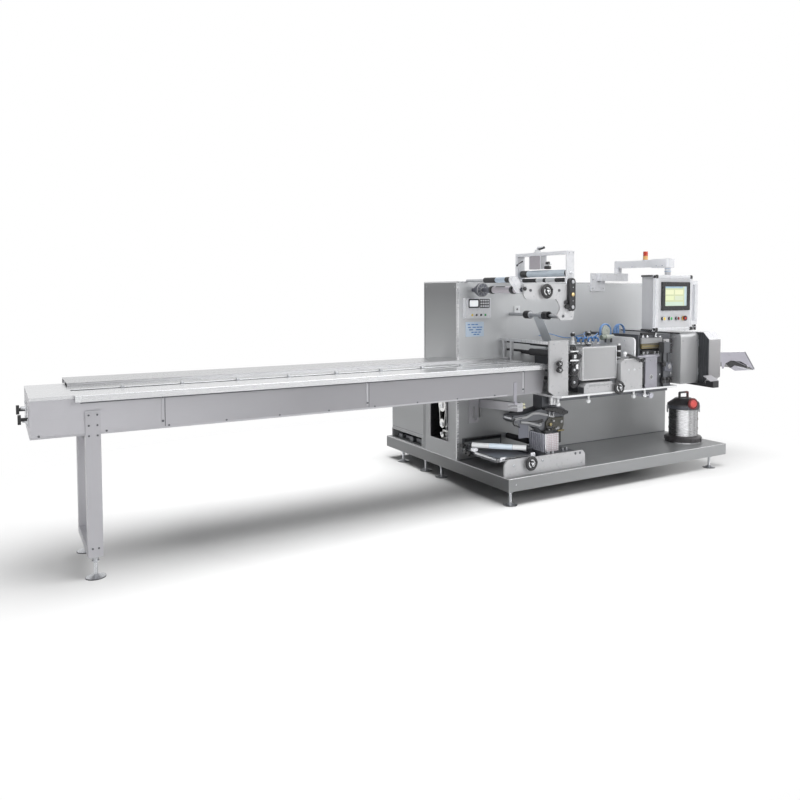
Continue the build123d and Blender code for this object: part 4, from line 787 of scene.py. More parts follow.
def make_finishes(tones):
    """Every finish, by the name that the pieces use."""
    housing, conveyor, rail = tuple(tones.housing), tuple(tones.conveyor), tuple(tones.rail)
    plate, dark, black = tuple(tones.plate), tuple(tones.dark), tuple(tones.black)
    film = tuple(tones.film)
    lamp_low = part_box("beacon_lamp")[0].z
    lamp_half = (lamp_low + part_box("beacon_lamp")[1].z) / 2
    FINISH.update({
        # Cabinets: painted shade, darker towards the bottom, and on the faces turned left darker towards the top
        # and again near the foot.
        "housing": brushed_steel("cabinet_sheet", housing, "Z", 0.35, (0.34, 0.46), shades=[
            (None, 2, 0.45, 0.85, 0.68, 1), ("left", 2, 0.75, 1.4, 1, 0.42), ("left", 2, 0.7, 0.9, 0.88, 1)]),
        # Platform: painted shade on its front, left and top faces, less towards the right and the back.
        "platform": brushed_steel("platform_sheet", housing, "X", 0.35, (0.32, 0.46), shades=[
            ("front", 0, 0, 2, 0.4, 0.6), ("left", 1, 0.2, 1.5, 0.21, 0.33), ("up", 0, 0, 0.9, 0.5, 0.56)]),
        # Conveyor: painted shade, darker from the tail towards the machine.
        "conveyor": brushed_steel("conveyor_sheet", conveyor, "X", 0.35, (0.34, 0.48), shades=[
            (None, 0, -2.5, -1.4, 0.92, 0.54)]),
        "leg": brushed_steel("leg_sheet", scaled(conveyor, 0.82), "Z", 0.35, (0.34, 0.46)),
        "rail": brushed_steel("ground_rail", scaled(rail, 0.93), "X", 0.75, (0.2, 0.32), 0.05),
        "table": brushed_steel("ground_table", scaled(rail, 0.68), "X", 0.7, (0.22, 0.34), 0.05),
        "deck": brushed_steel("ground_deck", scaled(rail, 0.9), "X", 0.8, (0.24, 0.36)),
        "chute": brushed_steel("chute_sheet", (0.42, 0.41, 0.46), "X", 0.4, (0.3, 0.4)),
        # Seal cover: painted light and shade, darker at the left and lighter at the right.
        "cover": brushed_steel("seal_cover_sheet", scaled(rail, 0.56), "Z", 0.5, (0.28, 0.4), shades=[
            (None, 0, 0.6, 0.95, 0.9, 1.1)]),
        # Cutter cover: painted light, lighter towards the top and much lighter on the faces turned left.
        "cutter": brushed_steel("cutter_sheet", scaled(rail, 0.6), "Z", 0.45, (0.3, 0.42), 0.1, shades=[
            (None, 2, 0.72, 1.08, 0.85, 1.05), ("left", 2, 0, 1, 1.8, 1.8)]),
        "bright": brushed_steel("bright_sheet", scaled(rail, 0.95), "Z", 0.8, (0.24, 0.36)),
        "plate": enamel("pale_plate", plate, 0.3),
        # Operator panel: painted light on the faces turned left.
        "panel": enamel("panel_enamel", tuple(tones.panel), 0.36, shades=[("left", 2, 0, 1, 1.3, 1.3)]),
        "film_plate": enamel("film_plate", scaled(plate, 1.25), 0.3),
        # A lit copy of the side plates' colour: painted light on the seal station's side plate and cover side,
        # which face left, away from the key lamp.
        "pale": enamel("plate_painted_light", scaled(plate, 2.1), 0.3),
        "lilac": brushed_steel("lilac_sheet", (0.34, 0.335, 0.375), "Z", 0.35, (0.3, 0.42)),
        # A darker copy of the rail steel: painted shade.
        "dim": brushed_steel("rail_steel_painted_shade", scaled(rail, 0.42), "X", 0.4, (0.34, 0.46)),
        # Pale frame: painted light on the faces turned left, painted shade on the faces turned to the front.
        "frame": enamel("pale_frame", scaled(tuple(tones.panel), 1.4), 0.28, coat=0.3, shades=[
            ("left", 2, 0, 1, 1.4, 1.4), ("front", 2, 0, 1, 0.86, 0.86)]),
        "polished": polished("polished_steel"),
        "turned": polished("turned_steel", (0.5, 0.51, 0.53), 0.26),
        "pulley": polished("pulley_steel", (0.78, 0.78, 0.77), 0.24),
        "brass": polished("brass", (0.72, 0.55, 0.28), 0.25),
        "dark": brushed_steel("blackened_steel", scaled(dark, 2.2), "X", 0.5, (0.3, 0.45), 0.2),
        "guard": plastic("guard_black", scaled(black, 1.6), 0.34),
        "black": plastic("knob_black", black, 0.3),
        "rubber": plastic("roller_rubber", scaled(black, 1.4), 0.55),
        # Outfeed cover: painted shade on its sides and at the foot of its front, painted light on its top.
        "smoked": painted_facing_shade("smoked_cover", (0.045, 0.048, 0.053), (0.45, 0.45, 0.465)),
        "film": enamel("pale_film", film, 0.16, 0.05, coat=0.5),
        "hose": plastic("air_hose", tuple(tones.hose), 0.3),
        "umber": plastic("umber_black", (0.045, 0.043, 0.034), 0.4),
        "blush": enamel("blush_sheet", (0.55, 0.48, 0.5), 0.4, 0.06),
        "slate": brushed_steel("slate_sheet", (0.14, 0.145, 0.17), "Y", 0.5, (0.3, 0.4)),
        "ivory": plastic("ivory_plastic", (0.7, 0.68, 0.5), 0.3, 0.05),
        # Outfeed face: painted shade, darker towards the bottom.
        "face": brushed_steel("outfeed_face", (0.4, 0.395, 0.405), "Z", 0.4, (0.3, 0.42), shades=[
            (None, 2, 0.78, 1.05, 0.72, 1)]),
        "maroon": plastic("latch_maroon", (0.16, 0.012, 0.012), 0.35),
        "coral": plastic("latch_coral", (0.72, 0.1, 0.09), 0.35),
        "band": enamel("lid_band", (0.075, 0.08, 0.095), 0.3, 0.08),
        "web": enamel("printed_film", (0.8, 0.84, 0.88), 0.22, 0.08, coat=0.4),
        "cream": enamel("cream_plate", (0.6, 0.56, 0.6), 0.32),
        "lit": lit_panel("lit_display", (0.82, 0.84, 0.86), 0.5),
        "olive": banded("ribbed_olive", [(-9, (0.3, 0.34, 0.28)), (1.03, (0.52, 0.55, 0.5))], 0, 0.3),
        "gold": polished("brass_strip", (0.26, 0.22, 0.12), 0.36),
        "cylinder": enamel("cylinder_grey", (0.5, 0.5, 0.56), 0.25, coat=0.4),
        "beacon": banded("beacon_lens", [
            (lamp_low, (0.9, 0.55, 0.2)), (lamp_half, (0.75, 0.06, 0.02))], 2, 0.2),
        "screen": plastic("screen_bezel", (0.02, 0.02, 0.022), 0.25),
        "page": screen_page("screen_page", "panel_screen"),
        # Painted reflections: bright and dark bands round the collector drum, which its beads share.
        "drum": sheen_bands("drum_steel_painted_reflections", "collector_drum", [
            (115, 0.16), (140, 0.05), (190, 0.08), (203, 0.85), (236, 0.9), (246, 0.36), (258, 0.5),
            (270, 0.3), (284, 0.45), (292, 0.05)]),
        "lid": plastic("lid_black", (0.055, 0.052, 0.055), 0.35),
        "red": plastic("signal_red", (0.55, 0.02, 0.015), 0.3),
        "green": plastic("signal_green", (0.02, 0.33, 0.07), 0.3),
        "amber": plastic("signal_amber", (0.75, 0.55, 0.06), 0.3),
        "white": plastic("pale_plastic", (0.8, 0.81, 0.82), 0.35, 0.04),
        "blue": plastic("fitting_blue", (0.06, 0.2, 0.5), 0.3),
        "sky": enamel("pale_blue_plate", (0.56, 0.66, 0.78), 0.35),
    })


# Screws and feet

SCREWS = {
    "conveyor_leg": ("front", 4.5, [(0.22, 0.97), (0.78, 0.97), (0.22, 0.9), (0.78, 0.9), (0.22, 0.83),
                                    (0.78, 0.83), (0.3, 0.06), (0.7, 0.06)]),
    "infeed_side_plate": ("front", 6, [(0.12, 0.94), (0.86, 0.94), (0.86, 0.52), (0.86, 0.3), (0.86, 0.07),
                                         (0.4, 0.07), (0.12, 0.6)]),
    "seal_cover": ("front", 4.5, [(0.05, 0.93), (0.95, 0.93), (0.05, 0.07), (0.95, 0.07)]),
    "end_seal_box": ("front", 5.5, [(0.2, 0.9), (0.88, 0.68), (0.08, 0.1), (0.92, 0.1), (0.5, 0.1)]),
    "end_seal_plate": ("front", 4.5, [(0.3, 0.83), (0.6, 0.83), (0.32, 0.08), (0.6, 0.08)]),
    "seal_adjuster": ("front", 5, [(0.1, 0.5), (0.4, 0.5), (0.68, 0.5), (0.9, 0.35)]),
    "lower_slide_plate": ("front", 4, [(0.06, 0.2), (0.42, 0.2), (0.7, 0.2), (0.95, 0.2)]),
    "cutter_cover": ("front", 5, [(0.12, 0.04), (0.88, 0.04), (0.88, 0.84), (0.12, 0.84)]),
    "control_box": ("front", 2.5, [(0.04, 0.96), (0.96, 0.96), (0.04, 0.53), (0.96, 0.53)]),
    "portal_adjuster": ("front", 4, [(0.3, 0.2), (0.7, 0.2)]),
    "seal_side_plate": ("left", 6, [(0.08, 0.94), (0.9, 0.94), (0.9, 0.5), (0.9, 0.08)]),
    "end_seal_frame": ("front", 5, [(0.06, 0.94), (0.94, 0.94)]),
    "belt_guard": ("front", 3.5, [(0.5, 0.72), (0.5, 0.31)]),
    "support_beam": ("front", 4, [(0.75, 0.86)]),
}
SCREW_FRONTS = {"support_beam": 0, "control_box": 0.29}


def screw_row(node, facing, radius, places, height=None):
    """Screws on the front or left face of a node's box, by shares of its width and height."""
    height = height or radius * 0.6
    depth = SCREW_FRONTS.get(node, 0)
    if facing == "front":
        points = [spot(node, a, depth, b) for a, b in places]
    else:
        points = [spot(node, 0, a, b) for a, b in places]
    return screws(radius, height, points, facing)


def screws_parts():
    for node, (facing, radius, places) in SCREWS.items():
        finish = "dark" if node == "conveyor_leg" else "turned"
        piece(f"{node}_screws", screw_row(node, facing, radius, places), finish)
    trough = [spot("conveyor_trough", 0.012, 0, 0.07), spot("conveyor_trough", 0.86, 0, 0.07)]
    screw = socket_screw(5, 2)
    upper = [spot("conveyor_trough", share, 0, 0.88) for share in (0.3, 0.41, 0.55, 0.63, 0.78)]
    piece("trough_screws", [copies(screw, row(*trough, 10)), copies(screw, upper)], "dark")
    foot = [spot("base_frame", 0, 0, 0.5, (60, 0, 0)), spot("base_frame", 1, 0, 0.5, (-60, 0, 0))]
    piece("platform_screws", screws(5, 2, foot), "turned")


class PACKER_OT_screws(bpy.types.Operator):
    """Socket screws on the plates, covers and leg, and the small screws along the conveyor"""
    bl_idname = "packer.screws"
    bl_label = "Screws"

    def execute(self, context):
        screws_parts()
        return {"FINISHED"}


FOOT_PLACES = [(x, y) for x in (0, 1.98) for y in (0, 0.869, 1.105, 1.476)]
FOOT_PLACES += [(-2.472, 0.09), (-2.472, 0.519)]


def feet_parts():
    places = [(x, y, 0) for x, y in FOOT_PLACES]
    thread = turned(threads(10.6, 1, 3, 62), (0, 0, 0.022), "top", 20)
    washer = turned(sleeve(19, 10, 3, 0.5), (0, 0, 0.083), "top", 24)
    piece("foot_threads", [copies(thread, places), copies(washer, places)], "polished")
    rim = turned([(46, 0.4), (47.8, 1.2), (47.8, 4), (46.4, 5.2), (44, 5.6)], (0, 0, 0), "top", 36)
    piece("foot_rims", copies(rim, places), "rubber")


class PACKER_OT_feet(bpy.types.Operator):
    """Threads, washers and rubber rims on the levelling feet"""
    bl_idname = "packer.feet"
    bl_label = "Feet"

    def execute(self, context):
        feet_parts()
        return {"FINISHED"}


# Conveyor

JOINTS_X = (-2.15, -1.005, 0.15)
TAIL_BEARINGS_Y, TAIL_Z = (0.15, 0.4), 0.81


def conveyor_parts():
    low, high = corners("conveyor_trough")
    front = low[1]
    straps = []
    for x in JOINTS_X:
        straps.append(slab((13, 150, 3), (x, front, low[2] + 0.098), "front", 2.4, 0.8))
    straps.append(slab((2760, 9, 1), (-1.36, front, low[2] + 0.0055), "front", 1, 0.3))
    piece("trough_straps", straps, "leg")
    seams = [slab((3.5, 178, 0.5), (x + 0.011, front, low[2] + 0.096), "front", 0.6, 0.2)
        for x in JOINTS_X]
    seams += [screws(6, 3, [(x, front - 0.002, low[2] + dz) for x in JOINTS_X
        for dz in (0.038, 0.16)])]
    # The long dark strip under the lip is painted shadow; the short upright strips are dark seams.
    seams.append(slab((2650, 5, 1), (-1.2, front, high[2] - 0.0355), "front", 0.6, 0.2))
    piece("trough_seams_and_shadow_line", seams, "dark")
    rail_low, rail_high = corners("front_rail")
    table_low = corners("rear_table")[0]
    rail_x = np.linspace(rail_low[0] + 0.003, rail_high[0] - 0.003, 2)
    nosings = []
    for y, z in ((rail_low[1] + 0.0005, rail_high[2] - 0.0016),
        (rail_high[1] - 0.0015, rail_high[2] - 0.0012), (table_low[1] + 0.0015, rail_high[2] - 0.0012)):
        nosings.append(tube([(x, y, z) for x in rail_x], 2, 10))
    piece("rail_nosings", nosings, "polished")
    strip = round_rectangle(2860, 7, 1.5)
    middle = (rail_low[0] + rail_high[0]) / 2
    piece("slot_guides", [slab(strip, (middle, y, rail_high[2] - 0.0005), "top", 1.8, 0.5)
        for y in (rail_high[1] - 0.012, table_low[1] + 0.012)], "white")
    piece("rail_end_cap", slab((26, 27, 3), (rail_low[0] + 0.0135, rail_low[1], rail_high[2] - 0.0145),
        "front", 2.2, 0.8), "white")
    tail_x = low[0]
    plates, bolts = [], []
    for y in TAIL_BEARINGS_Y:
        plates.append(slab((74, 96, 8), (tail_x, y, TAIL_Z), "left", 3, 0.8))
        for dy, dz in ((-0.028, -0.038), (0.028, -0.038), (-0.028, 0.038), (0.028, 0.038)):
            bolts.append((tail_x - 0.003, y + dy, TAIL_Z + dz))
    piece("tail_plates", plates, "bright")
    piece("tail_bolts", screws(5, 4, bolts, "left"), "turned")
    knobs = [spot("tail_knobs", 1, 0.096, 0.26), spot("tail_knobs", 1, 0.904, 0.74)]
    stem = turned(threads(9.4, 0.8, 3, 27), (0, 0, 0), "left", 20)
    collar = turned(sleeve(15, 8.6, 6), (0, 0, 0), "left", 24)
    piece("tail_stems", [copies(stem, knobs), copies(collar, knobs)], "polished")


class PACKER_OT_conveyor(bpy.types.Operator):
    """Joint straps, rail nosings, guide strips, tail bearings and tension screws of the infeed conveyor"""
    bl_idname = "packer.conveyor"
    bl_label = "Conveyor fittings"

    def execute(self, context):
        conveyor_parts()
        return {"FINISHED"}


def chain_parts():
    low, high = corners("pusher_chain")
    y = (low[1] + high[1]) / 2
    top = high[2] - 0.036 - 0.005
    places = row((low[0] + 0.07, y, top), (high[0] - 0.16, y, top), 96)
    pin = turned(sleeve(4, 0.5, 23, 1), (0, 0.0115, 0), "front", 8)
    link = slab((24, 9, 4.2, 3), (0.007, -0.0095, 0), "front", 2, 0.5)
    far_link = slab((24, 9, 4.2, 3), (0.007, 0.0115, 0), "front", 2, 0.5)
    piece("chain_links", [copies(shape, places) for shape in (pin, link, far_link)], "turned")


class PACKER_OT_chain(bpy.types.Operator):
    """Rollers and side plates of the pusher chain in its slot"""
    bl_idname = "packer.chain"
    bl_label = "Chain links"

    def execute(self, context):
        chain_parts()
        return {"FINISHED"}


# Handwheels

def handwheels_parts():
    steps = sizes().round_steps
    for node, body in (("upper_handwheel", "upper_wheel"), ("deck_handwheel", "deck_wheel"),
                       ("lower_handwheel", "lower_wheel")):
        low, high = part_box(node)
        reach = (high.x - low.x) / 2 / MM
        centre = spot(node, 0.5, 0, 0.5)
        hub = [(reach * 0.2, -2), (reach * 0.22, 1), (reach * 0.2, 3.5), (reach * 0.12, 4.5),
            (reach * 0.1, 2.5), (0, 2)]
        shapes = [turned(hub, centre, "front", steps)]
        for turn in range(3):
            a = 2 * math.pi * turn / 3 + 0.5
            arm = np.array((math.cos(a), 0, math.sin(a))) * reach * 0.3 * MM
            shapes.append(screws(reach * 0.085, 3, [centre + arm + (0, -0.001, 0)]))
        piece(f"{node}_hub", shapes, "polished", body)
        piece(f"{node}_tyre", turned(ring_profile(reach, 5.5), centre + (0, 0.0135, 0), "front", steps),
            "black", body)
        piece(f"{node}_arcs",
            [open_ring(ring_section(reach * 0.64, reach * 0.44, 4, 0.8), centre + (0, 0.0125, 0), "front",
            turn, gap, 14) for turn, gap in ((205, 200), (20, 250))], "white", body)
        knob_at = centre + (reach * 0.6 * MM, 0, reach * 0.25 * MM)
        piece(f"{node}_grip", turned([(3, -4), (3, 2), (6, 3), (7.5, 7), (6.5, 11), (3, 13), (0, 13.2)],
            knob_at, "front", 20), "black", body)


class PACKER_OT_handwheels(bpy.types.Operator):
    """Bright hubs, clamp screws and rim rings on the three dished handwheels"""
    bl_idname = "packer.handwheels"
    bl_label = "Handwheel hubs"

    def execute(self, context):
        handwheels_parts()
        return {"FINISHED"}


# Operator panel, its arm and the beacon

def panel_parts():
    low, high = corners("panel_screen")
    width, height = (high[0] - low[0]) / MM, (high[2] - low[2]) / MM
    middle = (low + high) / 2
    page_y = low[1] + 0.003
    piece("screen_page", slab((width - 62, height - 62, 2), (middle[0], page_y + 0.0002, middle[2]), "front",
        0.6, 0.2), "page", "panel")
    lip = frame_ring((width - 56, height - 56, 4), (width - 66, height - 66, 2),
        (middle[0], page_y, middle[2]), "front", 2.4)
    edge = frame_ring((width, height, 7), (width - 10, height - 10, 4), (middle[0], low[1], middle[2]),
        "front", 1.6)
    piece("screen_bezel", [lip, edge], "screen", "panel")
    frame_low, frame_high = corners("panel_frame")
    front, depth = frame_low[1], 27
    caps = []
    for x in (frame_low[0] + 0.0135, frame_high[0] - 0.0135):
        for z in (frame_low[2] + 0.0135, frame_high[2] - 0.0135):
            caps.append(slab((29, 29, 8, 6), (x, front + depth * MM, z), "front", depth + 1.5, 3))
    for z in (frame_low[2] + 0.0065, frame_high[2] - 0.0065):
        caps.append(slab((depth + 92, 15, 5, 5), (frame_low[0] + 0.014, front + 0.088, z), "left", 15, 3))
    piece("panel_corner_caps", caps, "black", "panel")
    grooves = []
    for z in (frame_low[2] + 0.013, frame_high[2] - 0.013):
        grooves.append(tube([(frame_low[0] + 0.03, front - 0.0004, z),
            (frame_high[0] - 0.03, front - 0.0004, z)], 1.6, 8))
    for x in (frame_low[0] + 0.013, frame_high[0] - 0.013):
        grooves.append(tube([(x, front - 0.0004, frame_low[2] + 0.03),
            (x, front - 0.0004, frame_high[2] - 0.03)], 1.6, 8, (1, 0, 0)))
    piece("panel_frame_grooves", grooves, "panel", "panel")
    panel_buttons()
    panel_glands(frame_low, frame_high)


def panel_buttons():
    """Each button is a bright ring with a coloured, slightly crowned cap; the last is a mushroom head."""
    low, high = corners("panel_buttons")
    step = (high[0] - low[0] - 0.032) / 3
    z = (low[2] + high[2]) / 2
    front = low[1] + 0.01
    rings = turned([(13.6, -0.5), (14.6, 1), (14.6, 4), (13.2, 5.5), (11.4, 5.5), (11.4, 1)], (0, 0, 0),
        "front", 28)
    places = [(low[0] + 0.013 + step * n, front, z) for n in range(3)]
    piece("button_rings", copies(rings, places), "polished", "panel")
    for place, name in zip(places, ("amber", "green", "black")):
        piece(f"button_cap_{name}", turned([(11.2, 0.5), (11.2, 5), (10.2, 6.6), (6, 7.4), (0, 7.6)], place,
            "front", 24), name, "panel")
    piece("button_selector", slab((5, 19, 2), (places[2][0], front - 0.0075, z), "front", 7, 1.5), "red",
        "panel")
    x = low[0] + 0.013 + step * 3
    piece("button_mushroom", turned([(18.6, 0), (19.4, 2), (19, 6), (16, 9.5), (9, 11.6), (0, 12)],
        (x, low[1] + 0.0115, z), "front", 32), "red", "panel")
    piece("button_collar", turned([(17.5, -9), (17.5, -2), (15, -1), (13, -1)], (x, low[1] + 0.0115, z),
        "front", 28), "amber", "panel")


def panel_glands(low, high):
    """Bright cable glands with ribbed nuts under the panel's right end."""
    gland = turned([(0, 0), (8, 0), (10, 1), (10, 18), (12, 19), (12, 30), (10, 31), (9, 42), (6, 44),
        (0, 44)], (0, 0, -0.044), "top", 18)
    places = [(high[0] + 0.012 + 0.034 * n, low[1] + 0.041, corners("panel_handle")[0][2] + 0.002)
        for n in range(3)]
    piece("panel_glands", copies(gland, places), "guard", "panel")
    nut = turned(sleeve(12.8, 11, 6), (0, 0, -0.023), "top", 18)
    piece("panel_gland_nuts", copies(nut, places), "polished", "panel")


class PACKER_OT_panel(bpy.types.Operator):
    """Screen page, bezel, corner caps, coloured buttons, handle ends and glands of the operator panel"""
    bl_idname = "packer.panel"
    bl_label = "Operator panel"

    def execute(self, context):
        panel_parts()
        return {"FINISHED"}


def arm_parts():
    pivot = spot("panel_arm", 0.5, 1, 1, (0, -30, -4))
    cap = turned([(26, 0), (26, 2), (23, 4), (10, 4.6), (0, 4.6)], pivot, "top", 36)
    head = spot("panel_arm", 0.5, 0, 1, (0, 42, 0))
    head_cap = turned([(30, 0), (30, 1.2), (27, 2.4), (0, 2.6)], head, "top", 36)
    piece("arm_caps", [cap, head_cap], "panel", "swing_arm")
    neck = spot("panel_arm", 0.5, 0, 0, (0, 42, 0))
    ring = turned(sleeve(25, 21.5, 7), neck + (0, 0, 0.003), "top", 36)
    lip = turned(sleeve(24, 21.5, 4), neck + (0, 0, 0.024), "top", 36)
    piece("arm_neck_rings", [ring, lip], "sky", "swing_arm")
    side_places = [spot("panel_arm", 0, a, 0.5) for a in (0.1, 0.2, 0.62, 0.86)]
    piece("arm_screws", screws(4.5, 2.5, side_places, "left"), "turned", "swing_arm")
    low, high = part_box("beacon_lamp")
    centre = np.array(((low.x + high.x) / 2, (low.y + high.y) / 2, low.z))
    piece("beacon_ribs", [turned(ring_profile(19.2, 0.7, 8), centre + (0, 0, h * MM), "top", 32)
        for h in range(6, 68, 4)], "beacon", "swing_arm")
    piece("beacon_base", turned(sleeve(24, 18, 5), centre, "top", 32), "panel", "swing_arm")
    bracket = [spot("arm_bracket", a, 0, b) for a, b in ((0.05, 0.12), (0.05, 0.5), (0.36, 0.12),
        (0.36, 0.5))]
    bracket = [p + np.array((0, (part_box("main_cabinet")[0].y - 0.012) - p[1], 0)) for p in bracket]
    piece("bracket_screws", screws(5.5, 3, bracket), "turned")


class PACKER_OT_arm(bpy.types.Operator):
    """Pivot caps, clamp screws and the blue joint ring of the panel's arm, and the beacon's ribs"""
    bl_idname = "packer.arm"
    bl_label = "Arm and beacon"

    def execute(self, context):
        arm_parts()
        return {"FINISHED"}


# Shapes used by the packing units

def corners(node):
    """Low and high corner of a node's box."""
    return tuple(np.array(corner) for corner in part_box(node))


def capsule(start, end, radius, steps=9):
    """The outline round two points: a half circle about each, in millimetres, counter-clockwise."""
    start, end = np.array(start, float), np.array(end, float)
    turn = math.atan2(*(end - start)[::-1])
    a = turn + np.linspace(-math.pi / 2, math.pi / 2, steps)
    half = radius * np.stack((np.cos(a), np.sin(a)), -1)
    return np.concatenate((end + half, start - half))


def open_ring(profile, centre, facing, opening, gap, steps=28):
    """A split ring: the closed profile (r, h) is carried round from one side of the opening to the
    other, where both ends are closed. Angles are in degrees, the opening counted from the facing's right."""
    u, v, w = directions(facing)
    p = np.array(profile, float) * MM
    a = np.radians(np.linspace(opening + gap / 2, opening + 360 - gap / 2, steps))
    ring = np.cos(a)[:, None] * u + np.sin(a)[:, None] * v
    points = np.array(centre) + p[None, :, 1, None] * w + p[None, :, 0, None] * ring[:, None]
    count = len(p)
    ends = [np.arange(count)[::-1][None], (steps - 1) * count + np.arange(count)[None]]
    return points.reshape(-1, 3), [grid_faces(steps, count)] + ends


def ring_section(radius, bore, length, edge=1.0):
    """A closed rectangular section with eased corners for a split ring."""
    return [(bore, 0), (radius - edge, 0), (radius, edge), (radius, length - edge), (radius - edge, length),
        (bore, length)]


def along_y(radius, bore, x, z, start, end, steps=28):
    """A sleeve on a shaft along Y, from start to end in metres."""
    return turned(sleeve(radius, bore, (end - start) / MM), (x, start, z), (0, 1, 0), steps)


def star_knob(radius, height, centre, facing, lobes=5):
    """A lobed knob: r = R (1 + 0.09 cos n a) on its grip, plain on its neck and crown."""
    profile = [(radius * 0.45, -height * 0.4), (radius * 0.5, 0), (radius * 0.92, height * 0.12),
        (radius, height * 0.3), (radius, height * 0.75), (radius * 0.85, height), (0, height * 1.06)]
    lobed = np.array([False, False, True, True, True, True, False])
    return turned(profile, centre, facing, 40, (lobed, lambda a: 1 + 0.09 * np.cos(lobes * a)))


# Upper film unit

def reel_parts():
    low, high = corners("film_reel")
    x, z = (low[0] + high[0]) / 2, (low[2] + high[2]) / 2
    rings = []
    for y in (low[1] + 0.078, low[1] + 0.318):
        rings.append(open_ring(ring_section(28, 22.4, 22), (x, y + 0.024, z), "front", 0, 44))
        rings.append(open_ring(ring_section(25.5, 22.4, 30), (x, y + 0.028, z), "front", 0, 40))
    piece("reel_split_collars", rings, "black", "reel")
    piece("reel_sleeves", [along_y(23.4, 22.2, x, z, low[1] + 0.115, low[1] + 0.312),
        along_y(23.4, 22.2, x, z, low[1] + 0.036, low[1] + 0.07)], "cream", "reel")
    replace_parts(piece("reel_core", [along_y(15, 3, x, z, low[1], high[1] - 0.0005, 32),
        along_y(22.4, 14, x, z, low[1] + 0.034, high[1] - 0.2, 36),
        along_y(49.5, 14, x, z, high[1] - 0.12, high[1] - 0.096, 48),
        along_y(30, 14, x, z, high[1] - 0.097, high[1] - 0.05, 36)], "slate", "reel"), "film_reel")
    face = high[1] - 0.1202
    points, groups = slab(round_rectangle(22, 3.4, 1.2, 3) + (33, 0), (0, 0, 0), "front", 2)
    wheel = []
    for turn in range(10):
        a = turn * math.pi / 5
        spin = np.array(((math.cos(a), 0, -math.sin(a)), (0, 1, 0), (math.sin(a), 0, math.cos(a))))
        wheel.append((points @ spin.T + (x, face, z), groups))
    wheel.append(turned([(49.6, 0.2), (49.6, 2.6), (45.5, 3.2), (45, 0.6)], (x, face, z), "front", 44))
    wheel.append(turned([(20, 0.2), (20, 3.4), (17.5, 4.2), (13, 4.2), (12.6, 0.2)], (x, face, z), "front",
        32))
    piece("reel_flange_ribs", wheel, "dim", "reel")
    piece("reel_key", tube([(x - 0.012, y, z + 0.0205) for y in (low[1] + 0.17, low[1] + 0.275)], 3.6, 10),
        "black", "reel")
    piece("reel_end_knob", star_knob(13, 13, (x, corners("film_side_plate")[0][1] - 0.003, z + 0.006),
        "front", 6), "black")


def film_rollers():
    plate_low, plate_high = corners("film_side_plate")
    x, z = 0.036, plate_high[2] + 0.029
    black = [along_y(18.4, 17.1, x, z, 0.211, 0.349), along_y(18.8, 17.1, x, z, 0.056, 0.1)]
    sky = [along_y(18.2, 17.1, x, z, 0.1005, 0.2105)]
    reel_low, reel_high = corners("film_reel")
    axle = ((reel_low[0] + reel_high[0]) / 2 / MM, (reel_low[2] + reel_high[2]) / 2 / MM)
    piece("tension_link", slab(capsule((x / MM, z / MM), axle, 24), (0, 0.046, 0), "front", 40, 2), "frame")
    portal_x = sum(corners("film_portal"))[0] / 2
    guide_z = plate_high[2] + 0.032
    black += [along_y(14.8, 13.1, portal_x, guide_z, a, b)
        for a, b in ((0.343, 0.5), (0.236, 0.264), (0, 0.132))]
    white = [along_y(14.6, 13.1, portal_x, guide_z, a, b) for a, b in ((0.2645, 0.3425), (0.1325, 0.2355))]
    piece("roller_black_sleeves", black, "rubber")
    piece("roller_white_sleeves", white, "white")
    piece("tension_blue_sleeve", sky, "sky")
    roll_low, roll_high = corners("film_roll")
    roll_z = (roll_low[2] + roll_high[2]) / 2
    piece("film_roll_ends", [along_y(26.2, 13, portal_x, roll_z, 0.437, roll_high[1] - 0.014),
        along_y(25.8, 13, portal_x, roll_z, roll_low[1] + 0.009, roll_low[1] + 0.024)], "black", "roll")
    piece("film_roll_bearing", turned([(11, 0), (11, 3), (8, 4), (4, 4), (3.4, 2.4), (0, 2.4)],
        (portal_x, plate_low[1] - 0.0002, roll_z), "front", 24), "turned")
    web_x, web_z = 0.42, plate_high[2] - 0.215
    collars = []
    for start, end in ((0.12, 0.18), (0.326, 0.386)):
        for y in (start, (start + end) / 2):
            collars.append(open_ring(ring_section(28.5, 20, 27), (web_x, y + 0.0285, web_z), "front", 0, 36))
    piece("web_shaft_collars", collars, "black")
    piece("web_dancer_rod", along_y(8, 3, web_x + 0.03, web_z - 0.012, 0, 0.13), "polished")


